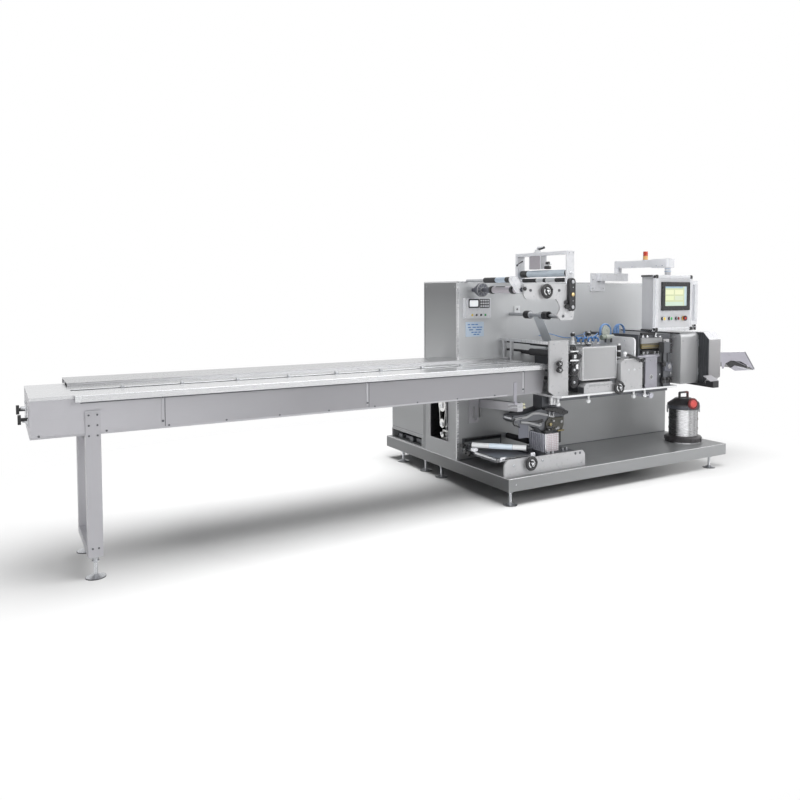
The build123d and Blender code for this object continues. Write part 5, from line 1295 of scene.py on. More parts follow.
def portal_parts():
    low, high = corners("film_portal")
    x = (low[0] + high[0]) / 2
    block_low, block_high = corners("portal_adjuster")
    stem_y = block_high[1] - 0.068
    top = high[2]
    piece("clamp_boss", turned([(31, 0), (31, 3), (24, 8), (20, 22), (16, 24), (9, 24)], (x, stem_y, top),
        "top", 32), "white")
    path = smooth_path([(x, stem_y + 0.004, top + 0.006), (x, stem_y + 0.002, top + 0.018),
        (x, stem_y - 0.012, top + 0.025), (x, stem_y - 0.045, top + 0.031),
        (x, stem_y - 0.072, top + 0.0362)], 26)
    piece("clamp_handle", tube(path, np.linspace(7, 8.6, 26), 14, (1, 0, 0)), "black")
    knob_y = block_low[1] + 0.022
    base = block_low[2]
    piece("clamp_knob",
        [turned([(12, -2), (24, 0), (25, 3), (25, 17), (22, 21), (15, 23.5)], (x, knob_y, base), "top", 36),
        star_knob(15.5, 24, (x, knob_y, base + 0.028), "top", 6)], "black")
    lever = tube([(low[0] - 0.004, 0.53, 1.604), (low[0] - 0.004, 0.5, 1.617),
        (low[0] - 0.004, 0.467, 1.628)], (3.4, 3.8, 5), 12, (1, 0, 0))
    seat = turned([(8, 0), (8, 4), (5, 6), (0, 6)], (low[0], 0.536, 1.601), "left", 20)
    piece("post_lever", [lever, seat], "black")
    piece("clamp_plate", slab((118, 96, 5), (block_low[0], block_high[1] - 0.068, (base + top - 0.022) / 2),
        "left", 3, 1), "cream")
    lugs = [slab((58, 26, 4), (x, low[1] - 0.0003, high[2] - 0.014), "front", 4, 1.2)]
    lugs += [slab((22, 40, 4), (low[0] - 0.0002, y, low[2] + 0.05), "left", 4, 1.2)
        for y in (low[1] + 0.0075, high[1] - 0.031)]
    piece("portal_lugs", lugs, "frame")
    heads = [(x + dx, low[1] - 0.0043, high[2] - 0.014) for dx in (-0.018, 0.018)]
    piece("portal_lug_screws", screws(4.2, 3, heads), "turned")


def belt_cover():
    low, high = corners("belt_guard")
    x = (low[0] + high[0]) / 2
    face = high[1] - 0.026
    height = (high[2] - low[2]) / MM
    rise = capsule((x / MM, low[2] / MM + 26), (x / MM, high[2] / MM - 26), 21, 13)
    piece("guard_panel", slab(rise, (0, face, 0), "front", 1.6, 0.6), "guard")
    outer = capsule((x / MM, low[2] / MM + 26), (x / MM, high[2] / MM - 26), 26, 13)
    inner = capsule((x / MM, low[2] / MM + 26), (x / MM, high[2] / MM - 26), 23.5, 13)
    piece("guard_rim", frame_ring(outer, inner, (0, face, 0), "front", 3), "lid")
    caps = []
    for share in (26 / height, 1 - 26 / height):
        centre = (x, low[1] - 0.0002, low[2] + share * (high[2] - low[2]))
        caps.append(turned([(12.4, -4), (12.4, 0.5), (11, 2), (6, 2.4), (5, 1), (0, 1)], centre, "front", 28))
    piece("guard_hubs", caps, "turned")
    piece("guard_middle_hub", turned([(12.6, -4), (12.6, 1), (11, 2.6), (5, 3.4), (0, 3.6)],
        (x, low[1] - 0.0002, (low[2] + high[2]) / 2), "front", 28), "brass")
    knob = star_knob(17, 18, (low[0] - 0.014, corners("film_side_plate")[0][1] - 0.008, low[2] + 0.03),
        "front", 5)
    neck = star_knob(12, 12, (low[0] - 0.016, corners("film_side_plate")[0][1] - 0.006, low[2] + 0.062),
        "front", 5)
    piece("guard_knobs", [knob, neck], "black")


def wall_parts():
    wall = corners("main_cabinet")[0][1]
    plate = slab((54, 56, 3), (0.483, wall, 1.272), "front", 9, 1.2)
    shelf = slab((100, 10, 2), (0.483, wall, 1.236), "front", 16, 1.5)
    piece("wall_sensor", [plate], "white")
    piece("wall_sensor_shelf", [shelf], "turned")
    piece("wall_sensor_screw", screws(7, 4, [(0.481, wall - 0.009, 1.274)]), "dark")
    plate_low = corners("film_side_plate")[0]
    bolts = [(0.143, plate_low[1], 1.414), (0.388, plate_low[1], 1.414), (0.425, plate_low[1], 1.239)]
    piece("film_plate_bolts", screws(9.5, 5.5, bolts), "dark")
    small = [(0.105, plate_low[1], 1.443), (0.498, plate_low[1], 1.418), (0.498, plate_low[1], 1.235),
        (0.395, plate_low[1], 1.3), (0.17, plate_low[1], 1.375)]
    piece("film_plate_pins", screws(4, 1.8, small), "turned")


class PACKER_OT_film_unit(bpy.types.Operator):
    """Collars, sleeves, reel flange, clamp handle, knobs, guard hubs and bolts of the film unit"""
    bl_idname = "packer.film_unit"
    bl_label = "Upper film unit"

    def execute(self, context):
        reel_parts()
        film_rollers()
        portal_parts()
        belt_cover()
        wall_parts()
        return {"FINISHED"}


# Wall mounted control box

def control_box_parts():
    low, high = corners("control_box")
    face = corners("main_cabinet")[0][1] - 0.029
    wide, tall = 92, 64
    x, z = low[0] + 0.0253 + 0.049, high[2] - 0.039
    outline = round_rectangle(wide, tall, 8)
    piece("box_display_frame", frame_ring(outline, (wide - 17, tall - 19, 4), (x, face, z), "front", 3),
        "black")
    piece("box_display", slab((wide - 15, tall - 17, 3), (x, face + 0.0006, z), "front", 1.4, 0.3), "lit")
    keys_x = x + 0.0935
    piece("box_keypad", slab((88, 66, 5), (keys_x, face, z), "front", 1.6, 0.5), "guard")
    places = [(keys_x + dx, face - 0.0016, z + dz) for dz in (0.02, 0, -0.02)
        for dx in (-0.03, -0.01, 0.01, 0.03)]
    piece("box_keys", copies(slab((15, 13, 3), (0, 0, 0), "front", 2.2, 0.8), places), "panel")
    lamp_z = low[2] + (high[2] - low[2]) * 0.5625
    cap = turned([(8, 0), (8, 3), (6.4, 4.2), (0, 5)], (0, 0, 0), "front", 20)
    step = 0.038
    for n, tone in enumerate(("amber", "black", "black", "green")):
        centre = (low[0] + step * (n + 1.5), face - 0.0052, lamp_z)
        piece(f"box_lamp_{n}", copies(cap, [centre]), tone)
    piece("box_edge",
        frame_ring((228, 147, 6), (216, 135, 4), (low[0] + 0.114, face + 0.005, high[2] - 0.0735), "front",
        2.2), "frame")
    wall = corners("main_cabinet")[0][1] - 0.0025
    plate = (low[0] + 0.1, wall, low[2] + 0.0535)
    piece("printed_plate", slab((160, 107, 5), plate, "front", 1.2, 0.4), "sky")
    marks = []
    for row_z, runs in ((0.034, (-62, -30, 4)), (0.014, (-58, -20, 16, 44)), (-0.004, (-50, -38, 10, 34)),
                        (-0.022, (-30, -4, 30)), (-0.038, (-12, 18))):
        for n, start in enumerate(runs):
            length = 20 + (n * 7 + int(row_z * 1000)) % 11
            marks.append(slab((length, 7, 1.5, 3), (plate[0] + (start + length / 2) * MM, wall - 0.0012,
                plate[2] + row_z), "front", 0.5, 0.2))
    piece("printed_marks", marks, "blue")


class PACKER_OT_control_box(bpy.types.Operator):
    """Display, keypad, lamps and the printed plate on the front wall"""
    bl_idname = "packer.control_box"
    bl_label = "Control box"

    def execute(self, context):
        control_box_parts()
        return {"FINISHED"}


# Sealing station

def fitting(centre, turn_mm=34.0):
    """An air fitting's pieces: a hex foot, a ribbed body, a collar and an elbow tube of that reach."""
    c = np.array(centre)
    foot = hex_nut(10, 7, 3, "top")
    body = turned([(7.5, 7), (8.5, 8), (8.5, 18), (7, 19.5), (5, 20)], c, "top", 18)
    ring = turned(sleeve(9.6, 6, 4.5, 0.8), c + (0, 0, 0.0205), "top", 18)
    bend = smooth_path([c + (0, 0, 0.02), c + (0, 0, 0.034), c + (turn_mm * 0.3 * MM, 0, 0.046),
        c + (turn_mm * MM, 0, 0.048)], 14)
    elbow = tube(bend, 6.2, 12, Y)
    mouth = turned(sleeve(8.4, 4, 8), c + (turn_mm * MM, 0, 0.048), "right", 18)
    return joined([copies(foot, [c]), body]), joined([elbow]), joined([ring, mouth])


def seal_station_knobs():
    low, high = corners("seal_knobs")
    y = (low[1] + high[1]) / 2
    stems, springs, tops = [], [], []
    for x in (low[0] + 0.016, high[0] - 0.016):
        stems.append(turned([(9.2, 0), (13, 0), (13, 24), (10.5, 27), (10.5, 52), (9.2, 53)], (x, y, low[2]),
            "top", 24))
        stems.append(turned(sleeve(22, 9.4, 6), (x, y, low[2]), "top", 28))
        springs.append(spring((x, y, low[2] + 0.006), "top", 22, 17, 1.7, 5))
        tops.append(turned([(9, 61), (14, 63), (16.6, 68), (17.2, 76), (16.4, 85), (12.5, 91), (6, 93.4),
            (0, 93.6)], (x, y, low[2]), "top", 28))
    piece("knob_stems", stems, "white")
    piece("knob_springs", springs, "polished")
    piece("knob_balls", tops, "black")
    piece("knob_flag", slab([(-3, 0), (14, 9), (22, 20), (16, 24), (2, 14)],
        (high[0] - 0.016, y, high[2] - 0.016), "front", 5), "black")


def air_parts():
    top = corners("seal_housing")[1][2]
    bright, blue, dark = [], [], []
    for place, reach in (((0.772, 0.215, top), 30), ((0.8, 0.235, top), -26), ((0.8, 0.19, top), 26),
                         ((0.862, 0.2, top), 24), ((0.93, 0.17, top), -30), ((0.925, 0.225, top), 28)):
        a, b, c = fitting(place, reach)
        bright.append(a)
        blue.append(b)
        dark.append(c)
    piece("fitting_feet", bright, "polished")
    piece("fitting_elbows", blue, "blue")
    piece("fitting_collars", dark, "blue")
    hoses = []
    for points in ([(0.834, 0.2, top + 0.048), (0.87, 0.26, top + 0.07), (0.95, 0.34, top + 0.075),
        (1.05, 0.45, top + 0.06), (1.06, 0.574, top + 0.03)],
        [(0.9, 0.2, top + 0.048), (0.95, 0.22, top + 0.062), (1, 0.25, top + 0.075), (1.03, 0.3, top + 0.05),
        (1.02, 0.32, top - 0.01)], [(0.745, 0.235, top + 0.048), (0.72, 0.33, top + 0.05),
        (0.7, 0.46, top + 0.07), (0.7, 0.574, top + 0.05)]):
        hoses.append(tube(smooth_path(points, 36), 3.3, 10))
    piece("hose_runs", hoses, "hose")
    low = corners("air_hoses")[0]
    seat = corners("seal_side_plate")
    feet = []
    arch = (seat[0][0] + seat[1][0]) / 2
    for y in (low[1] + 0.004, low[1] + 0.017):
        for x in (arch - 0.052, arch + 0.052):
            feet.append(turned(sleeve(7.4, 4.1, 13), (x, y, seat[1][2] - 0.016), "top", 16))
    piece("hose_sockets", feet, "polished")
    disc = (arch, low[1] + 0.004, seat[1][2] + 0.034)
    piece("hose_reel",
        turned([(0, 1), (12, 1), (13, 4), (40, 4), (41.5, 2.5), (41.5, -2.5), (40, -4), (13, -4), (12, -1),
        (0, -1)], disc, "front", 44), "olive")
    loops = []
    for y, width in ((0.262, 0), (0.272, 0.006), (0.284, 0)):
        a = np.linspace(-0.25 * math.pi, 1.25 * math.pi, 30)
        x, z = seat[1][0] + 0.085, seat[1][2] + 0.028
        loops.append(tube(np.stack((x + (0.022 + width) * np.cos(a), y + 0.02 * np.cos(a),
            z + 0.048 * np.sin(a)), -1), 4.2, 10, (0, 1, 0.2)))
    piece("hose_loops", loops, "hose")
    reg_z = top + 0.045
    bowl = [(0, 0), (18, 0), (20, 3), (20, 34), (22, 35), (22, 40), (20, 41), (20, 72), (22, 73), (22, 79),
        (20, 80), (20, 118), (17, 122), (0, 122)]
    piece("air_regulators", turned(bowl, (0.99, 0.2, reg_z), "right", 28), "olive")
    piece("regulator_feet", [slab((12, 30, 3), (x, 0.19, reg_z - 0.022), "front", 14) for x in (1.02, 1.075)],
        "dark")


def seal_rollers():
    low, high = corners("seal_wheels")
    x = (low[0] + high[0]) / 2
    deck = corners("deck_plate")[1][2]
    caps, hubs, bands = [], [], []
    for rise in (0.082, 0.168, 0.254):
        z = deck + rise
        caps.append(turned([(26, -13), (26, 0), (24, 2.4), (16, 2.4), (15, -0.6), (0, -0.6)],
            (x - 0.01, low[1], z), "front", 32))
        hubs.append(turned([(9, -2), (9, 2), (7, 3.5), (3.4, 3.5), (3, 2), (0, 2)], (x - 0.01, low[1], z),
            "front", 20))
        for y in (0.028, 0.076, 0.101, 0.149):
            bands.append(turned(ring_profile(33, 3.2, 8), (x, y, z), "front", 28))
    piece("seal_roller_caps", caps, "guard")
    piece("seal_roller_hubs", hubs, "turned")
    piece("seal_roller_rings", bands, "polished")
    piece("seal_roller_links", [slab((width, tall, 3), (x + dx, low[1] + 0.002, deck + rise), "front", 6, 1.5)
        for width, tall, dx, rise in ((76, 12, -0.012, 0.235), (70, 9, -0.012, 0.297), (34, 24, 0, 0.262),
        (20, 32, 0.012, 0.19))], "white")
    squares = [slab((24, 26, 5), (x + dx, low[1] - 0.001, deck + rise), "front", 10, 2)
        for dx, rise in ((-0.045, 0.322), (-0.015, 0.318), (-0.032, 0.214))]
    squares.append(turned([(19, -2), (20, 0), (20, 20), (16, 24), (0, 24)],
        (x + 0.024, low[1] + 0.006, deck + 0.262), "front", 24))
    piece("seal_roller_blocks", squares, "black")


def slotted_fittings():
    low, high = corners("infeed_side_plate")
    face = low[1]
    x = low[0] + 0.062
    for n, drop in enumerate((0.154, 0.197)):
        z = high[2] - drop
        piece(f"fitting_rim_{n}",
            turned([(18.6, -3), (20, 1), (20, 20), (18.4, 22), (14.8, 22), (14.2, 19.5), (12, 19.5)],
            (x, face, z), "front", 36), "black")
        piece(f"fitting_core_{n}", turned([(14.6, 18), (14.6, 20.2), (12, 21), (0, 21)], (x, face, z),
            "front", 30), "black")
        marks = []
        for turn in (0.9, 0.9 + math.pi / 2):
            arm = np.array((math.cos(turn), math.sin(turn))) * 9.5
            marks.append(slab(capsule(-arm, arm, 2.2, 7), (x, face - 0.0206, z), "front", 1.6, 0.5))
        piece(f"fitting_slot_{n}", marks, "polished")


def seal_station_edges():
    low, high = corners("seal_cover")
    deck = corners("deck_plate")[1][2]
    dark, pale = [], []
    for n, z in enumerate(np.arange(deck + 0.004, high[2] - 0.02, 0.047)):
        dark.append(slab((26, 34, 4), (0.978, 0.014, z + 0.017), "front", 16, 1.5))
        pale.append(slab((20, 12, 3), (0.978, 0.012, z + 0.0405), "front", 12, 1.5))
    piece("stop_blocks", dark, "black")
    piece("stop_washers", pale, "white")
    height = (high[2] - low[2]) / MM
    width = (high[0] - low[0]) / MM
    middle = (low + high) / 2
    piece("seal_cover_rim", frame_ring((width - 10, height - 4, 9), (width - 24, height - 18, 7),
        (middle[0], low[1], middle[2]), "front", 1.2), "rail")
    piece("seal_cover_grip", slab((6, 150, 2.5), (high[0] - 0.013, low[1], middle[2] + 0.01), "front", 7, 2),
        "polished")
    piece("seal_cover_gasket",
        tube([(low[0] + 0.004, low[1] + 0.004, low[2] - 0.004),
        (high[0] - 0.004, low[1] + 0.004, low[2] - 0.004)], 3.6, 8), "black")
    side = slab((40, height - 8, 4), (low[0], middle[1] + 0.002, middle[2]), "left", 1, 0.3)
    wing = slab((190, height - 8, 4), (0.62, 0.125, middle[2]), "left", 16, 1.5)
    piece("seal_cover_side", [side, wing], "pale")
    adj_low, adj_high = corners("seal_adjuster")
    piece("adjuster_scale",
        [slab((2.2, 12 if n % 5 else 20, 0.8, 3), (adj_low[0] + 0.05 + n * 0.0095, adj_low[1],
        adj_high[2] - 0.02), "front", 0.8, 0.3) for n in range(20)], "dark")
    piece("adjuster_side", slab((56, 40, 3), (adj_low[0], adj_low[1] + 0.031, adj_low[2] + 0.023), "left",
        1.2, 0.4), "dark")
    plate_low, plate_high = corners("seal_side_plate")
    edge_z = plate_high[2] + 0.0005
    piece("side_plate_trim",
        [tube([(plate_low[0] + 0.064, y, edge_z - 0.002)
        for y in (plate_low[1] + 0.035, plate_high[1] - 0.004)], 3, 8),
        tube([(plate_low[0] + 0.064, plate_low[1] + 0.001, z) for z in (deck + 0.24, plate_high[2] - 0.035)],
        3, 8, (1, 0, 0))], "white")


class PACKER_OT_seal_station(bpy.types.Operator):
    """Knob stems, springs, blue air fittings, hoses, roller caps, slotted fittings and the stop stack"""
    bl_idname = "packer.seal_station"
    bl_label = "Side seal station"

    def execute(self, context):
        seal_station_knobs()
        air_parts()
        seal_rollers()
        slotted_fittings()
        seal_station_edges()
        return {"FINISHED"}


# End seal station

def hand_lever():
    low, high = corners("clamp_lever")
    y = low[1] + 0.0065
    start, end = np.array((low[0] + 0.004, y, high[2] - 0.008)), np.array((high[0] - 0.013, y,
        low[2] + 0.014))
    along = end - start
    piece("lever_grip", tube(row(start + along * 0.12, start + along * 0.72, 8),
        (7.5, 9, 9.6, 9.6, 9.4, 9, 8.5, 7.4), 14, (0, 1, 0)), "black")
    piece("lever_ball", ball(15, start - (0, 0, 0.015)), "white")
    piece("lever_hub", turned([(15, -6), (15, 2), (12, 5), (5, 5.6), (4.4, 3), (0, 3)],
        (end[0], low[1], end[2]), "front", 28), "black")


SPRINGS_X = (1.22, 1.26, 1.34, 1.38)


def jaw_parts():
    piece("jaw_box", slab((222, 44, 4), (1.305, 0.008, 1.041), "front", 16, 2), "dim")
    piece("jaw_brass", slab((214, 34, 3), (1.301, 0.008, 1), "front", 20, 1.5), "gold")
    piece("jaw_brass_grooves", [slab((206, 4, 1.2, 3), (1.301, -0.012, z), "front", 1.6, 0.5)
        for z in (1.011, 0.991)], "dark")
    piece("drilled_block", slab((64, 100, 5), (1.456, 0.012, 0.999), "front", 24, 2), "plate")
    # Painted shade: the holes' shallow cups are blackened to stand for their dark insides.
    piece("drilled_block_holes",
        [turned([(8, 0), (8, 1.2), (6.4, 1.4), (5.8, 0.4), (0, 0.3)], (1.456 + dx, -0.0122, z), "front", 20)
        for dx, z in ((-0.014, 1.028), (0.012, 0.998), (-0.014, 0.97))], "dark")
    piece("jaw_stops", [slab((26, 30, 4), (1.512, 0.006, z), "front", 14, 2) for z in (0.955, 0.995, 1.035)],
        "black")
    piece("jaw_bars", [slab((196, 30, 4), (1.3, 0.012, 0.958), "front", 18, 2),
        slab((150, 22, 4), (1.27, 0.012, 1.094), "front", 20, 2)], "black")
    piece("jaw_springs", [spring((x, -0.002, 0.925), "top", 30, 9, 1.6, 5) for x in SPRINGS_X],
        "polished")
    piece("jaw_spring_seats", [turned(sleeve(11.5, 4, 5), (x, -0.002, z), "top", 18)
        for x in SPRINGS_X for z in (0.92, 0.955)], "turned")
    places = [(x, 0, 1.0655) for x in (1.215, 1.26, 1.35, 1.395)]
    piece("jaw_nuts", copies(hex_nut(9, 8, 3), places), "polished")
    piece("jaw_rods", [turned([(0, 0), (5, 0), (5, 36), (3.5, 38), (0, 38)], (x, 0, 1.066), "top", 16)
        for x in (1.215, 1.26, 1.35)], "polished")


def end_seal_drive():
    face = corners("end_seal_plate")[0][1]
    hole_x, hole_z = 1.276, 0.773
    piece("end_plate_bush", turned([(12.2, -6), (12.2, 1), (17, 2.6), (19, 1.6), (19.5, 0)],
        (hole_x, -0.03, hole_z), "front", 32), "plate")
    piece("end_plate_pin", turned([(7, -8), (7, -2), (5, -0.5), (0, -0.5)], (hole_x, -0.03, hole_z), "front",
        20), "dim")
    # Painted shade: a thin black sheet stands for the slot's dark inside.
    piece("end_plate_slot", slab(capsule((0, -60), (0, 60), 7, 7), (1.188, face, 0.79), "front", 1, 0.3),
        "black")
    piece("end_rod_sleeve", turned([(0, 0), (11.6, 0), (12.6, 2), (12.6, 150), (11, 153), (0, 153)],
        (1.196, -0.023, 0.9285), "right", 24), "lilac")
    piece("drive_knob", star_knob(20, 22, (1.375, -0.048, 0.866), "front", 6), "black")
    piece("drive_body", slab([(-40, -26), (30, -34), (44, 4), (30, 30), (-26, 34), (-42, 8)],
        (1.43, -0.032, 0.84), "front", 26, 3), "slate")
    piece("drive_cap", turned([(17, 0), (17, 3), (14, 6), (6, 7), (0, 7)], (1.436, -0.058, 0.846), "front",
        28), "dim")
    valve = [slab((34, 46, 5), (1.385 + n * 0.042, -0.034, 0.742), "front", 18, 3) for n in range(3)]
    valve += [turned([(11, 0), (11, 9), (7, 12), (0, 12)], (1.385 + n * 0.042, -0.052, 0.752), "front", 20)
        for n in range(3)]
    piece("drive_valves", valve, "black")
    bolts = [(1.36 + n * 0.06, -0.0335, 0.79) for n in range(3)]
    piece("drive_bolts", screws(6, 4, bolts), "polished")
    box_low, box_high = corners("end_seal_box")
    heads = [(box_low[0] + 0.078, box_low[1], 0.842), (box_low[0] + 0.136, box_low[1], 0.842)]
    piece("seal_box_heads", screws(8.5, 3, heads), "frame")
    piece("seal_box_trim",
        tube([(box_low[0] + 0.03, box_low[1] + 0.001, box_high[2]),
        (box_high[0] - 0.002, box_low[1] + 0.001, box_high[2])], 3, 8), "white")


STUDS_X = (0.412, 0.69, 1.135, 1.25)


def below_deck():
    deck_low = corners("deck_plate")[1][2] - 0.014
    cylinder = turned([(0, 0), (19, 0), (21, 2), (21, 7), (18.5, 8), (18.5, 112), (21, 113), (21, 126),
        (0, 126)], (1.31, -0.002, 0.628), (0, 1, 0), 32)
    face = turned([(20.6, 0), (20.6, 1.5), (15, 2.2), (13.5, 0.6), (5, 0.6), (4, 3), (0, 3)],
        (1.31, -0.002, 0.628), "front", 28)
    piece("deck_cylinder", [cylinder, face], "cylinder")
    piece("deck_cylinder_hangers", [slab((30, 60, 4), (1.31, y, 0.655), "front", 8, 1.5)
        for y in (0.04, 0.11)], "dark")
    piece("deck_link_rod", turned([(0, 0), (5, 0), (5, 70), (0, 70)], (1.225, 0.005, 0.632), "right", 14),
        "polished")
    heads = []
    low, high = corners("deck_plate")
    y = low[1] + 0.06
    for x in STUDS_X:
        heads.append(turned([(9.4, 0), (15.4, 1), (16.2, 4), (16.2, 15), (13, 20), (6, 22), (0, 22)],
            (x, y, low[2] + 0.022), "under", 24))
    piece("deck_stud_heads", heads, "white")
    piece("deck_stud_nuts", [turned(sleeve(11, 9.2, 16), (x, y, deck_low - 0.017), "top", 20)
        for x in STUDS_X], "turned")
    piece("deck_stiffener", slab((1090, 18, 3), (0.96, low[1] + 0.075, deck_low - 0.022), "front", 8, 2),
        "dark")
    piece("deck_edge", slab((1142, 10, 2), (0.963, low[1], high[2] - 0.0065), "front", 1.2, 0.4), "white")


class PACKER_OT_end_seal(bpy.types.Operator):
    """Lever grip and ball, jaw blocks, springs, brass strip, drilled block, knobs and rods"""
    bl_idname = "packer.end_seal"
    bl_label = "End seal station"

    def execute(self, context):
        hand_lever()
        jaw_parts()
        end_seal_drive()
        below_deck()
        return {"FINISHED"}


# Lower film unit

def ribbon(points, half):
    """The outline of a band along a line of points, half its width to each side, in millimetres."""
    p = np.array(points, float)
    along = np.gradient(p, axis=0)
    up = np.stack((-along[:, 1], along[:, 0]), -1) / np.linalg.norm(along, axis=1)[:, None]
    return np.concatenate((p - up * half, (p + up * half)[::-1]))


def light_up(*things):
    """Lets the film lamp reach these pieces."""
    for thing in things:
        bpy.data.collections["lit_by_film_lamp"].objects.link(thing)


def swing_arm_parts():
    y = corners("swing_arms")[0][1]
    block_top = corners("lower_carriage")[1][2] / MM
    strips = [ribbon([(108, 543), (150, 548), (205, 549), (262, 570), (320, 566), (388, 548), (450, 529)], 8),
        ribbon([(158, 520), (215, 512), (272, 496), (322, 480)], 7)]
    piece("arm_strips", [slab(strip, (0, y, 0), "front", 9, 2) for strip in strips], "dim")
    a = np.radians(np.linspace(70, 268, 22))
    ring = np.stack((0.12 + 0.026 * np.cos(a), np.full(22, y - 0.004), 0.523 + 0.024 * np.sin(a)), -1)
    path = np.concatenate((ring[:1] + (0.04, 0, 0.002), ring, ring[-1:] + (0.03, 0, -0.012)))
    piece("arm_nose", tube(path, 5.4, 10, Y), "black")
    wedge = [(346, 588), (440, 566), (520, 540), (560, 548), (563, 566), (500, 586), (452, 600), (352, 604)]
    piece("arm_wedge", slab(wedge, (0, y + 0.016, 0), "front", 44, 3), "black")
    body = [(400, block_top + 12), (520, block_top + 12), (534, 470), (534, 526), (404, 530), (372, 500),
        (372, 452)]
    piece("arm_body", slab(body, (0, y, 0), "front", 12, 3), "umber")
    # Painted shade: a thin black sheet fills the gap between the two arm strips.
    gap = [(200, 522), (250, 520), (300, 520), (352, 526), (360, 506), (330, 496), (262, 512), (206, 514)]
    piece("arm_gap_shade", slab(gap, (0, y, 0), "front", 2, 0.6), "black")
    pins = [turned([(11, 0), (11, 5), (9, 8), (4, 8), (3, 5), (0, 5)], (x, face, z), "front", 24)
        for x, z, face in ((0.508, 0.495, y - 0.012), (0.478, 0.452, y - 0.012), (0.328, 0.487, y))]
    pins += [turned([(7, 0), (7, 14), (5, 16), (0, 16)], (x, y - 0.012, z), "front", 20)
        for x, z in ((0.432, 0.507), (0.391, 0.447), (0.455, 0.45))]
    piece("arm_pins", pins, "dim")
    piece("arm_brass", [turned([(11, 0), (11, 10), (7, 12), (0, 12)], (0.408, y - 0.012, 0.483), "front", 20),
        slab((58, 10, 3), (0.498, y - 0.012, block_top * MM + 0.008), "front", 14, 2)], "gold")
    piece("arm_blocks", [slab((44, 88, 6), (0.502, y + 0.05, 0.384), "front", 46, 4),
        slab((62, 24, 6), (0.385, y - 0.006, 0.436), "front", 24, 3),
        turned([(0, 0), (15, 0), (15, 56), (12, 60), (0, 60)], (0.374, y - 0.006, 0.462), "right", 20)],
        "black")
    piece("arm_flag", slab((84, 124, 4), (0.19, y + 0.01, 0.468), "front", 5, 1), "slate")
    piece("arm_springs", [spring((x, y - 0.01, 0.538), "top", 46, 8, 1.7, 6) for x in (0.402, 0.436)],
        "polished")


def cooled_block():
    """The block's cooled front: a pale sheet with rows of fins, dark finned sides and bright corners."""
    low, high = 0.292, corners("lower_carriage")[1][2]
    left, front = 0.348, 0.07
    middle = (low + high) / 2
    piece("block_sheet", slab((112, (high - low) / MM - 8, 4), (0.413, front, middle), "front", 2.5, 1),
        "blush")
    fin = slab((14, 5.5, 1.5, 3), (0, 0, 0), "front", 4, 1)
    places = [(x, front - 0.0025, z) for x in np.linspace(0.369, 0.459, 5)
        for z in np.arange(low + 0.012, high - 0.008, 0.0125)]
    piece("block_fins", copies(fin, places), "frame")
    block_side = piece("block_side", slab((160, (high - low) / MM - 8, 4), (left, front + 0.086, middle),
        "left", 2, 0.8), "cylinder")
    bars = [slab((7, 118, 2), (left - 0.002, y, middle), "left", 6, 1.5)
        for y in np.arange(0.084, 0.236, 0.0215)]
    light_up(piece("block_bars", bars, "slate"), block_side)
    piece("block_posts", slab((9, (high - low) / MM, 2.5), (left + 0.004, front - 0.0005, middle), "front", 6,
        1.5), "polished")
    bolts = [(x, 0.085, 0.2905) for x in (0.519, 0.553)]
    cap = turned([(13, 0), (13, 4), (9, 7), (9, 13), (6, 16), (0, 16)], (0, 0, 0), "top", 24)
    piece("carriage_caps", [copies(cap, bolts), copies(cap, [(0.36, 0.045, 0.2905), (0.385, 0.03, 0.2905)])],
        "turned")


BAR_KNOBS = ((0.545, 0.3), (0.505, 0.262), (0.462, 0.258))


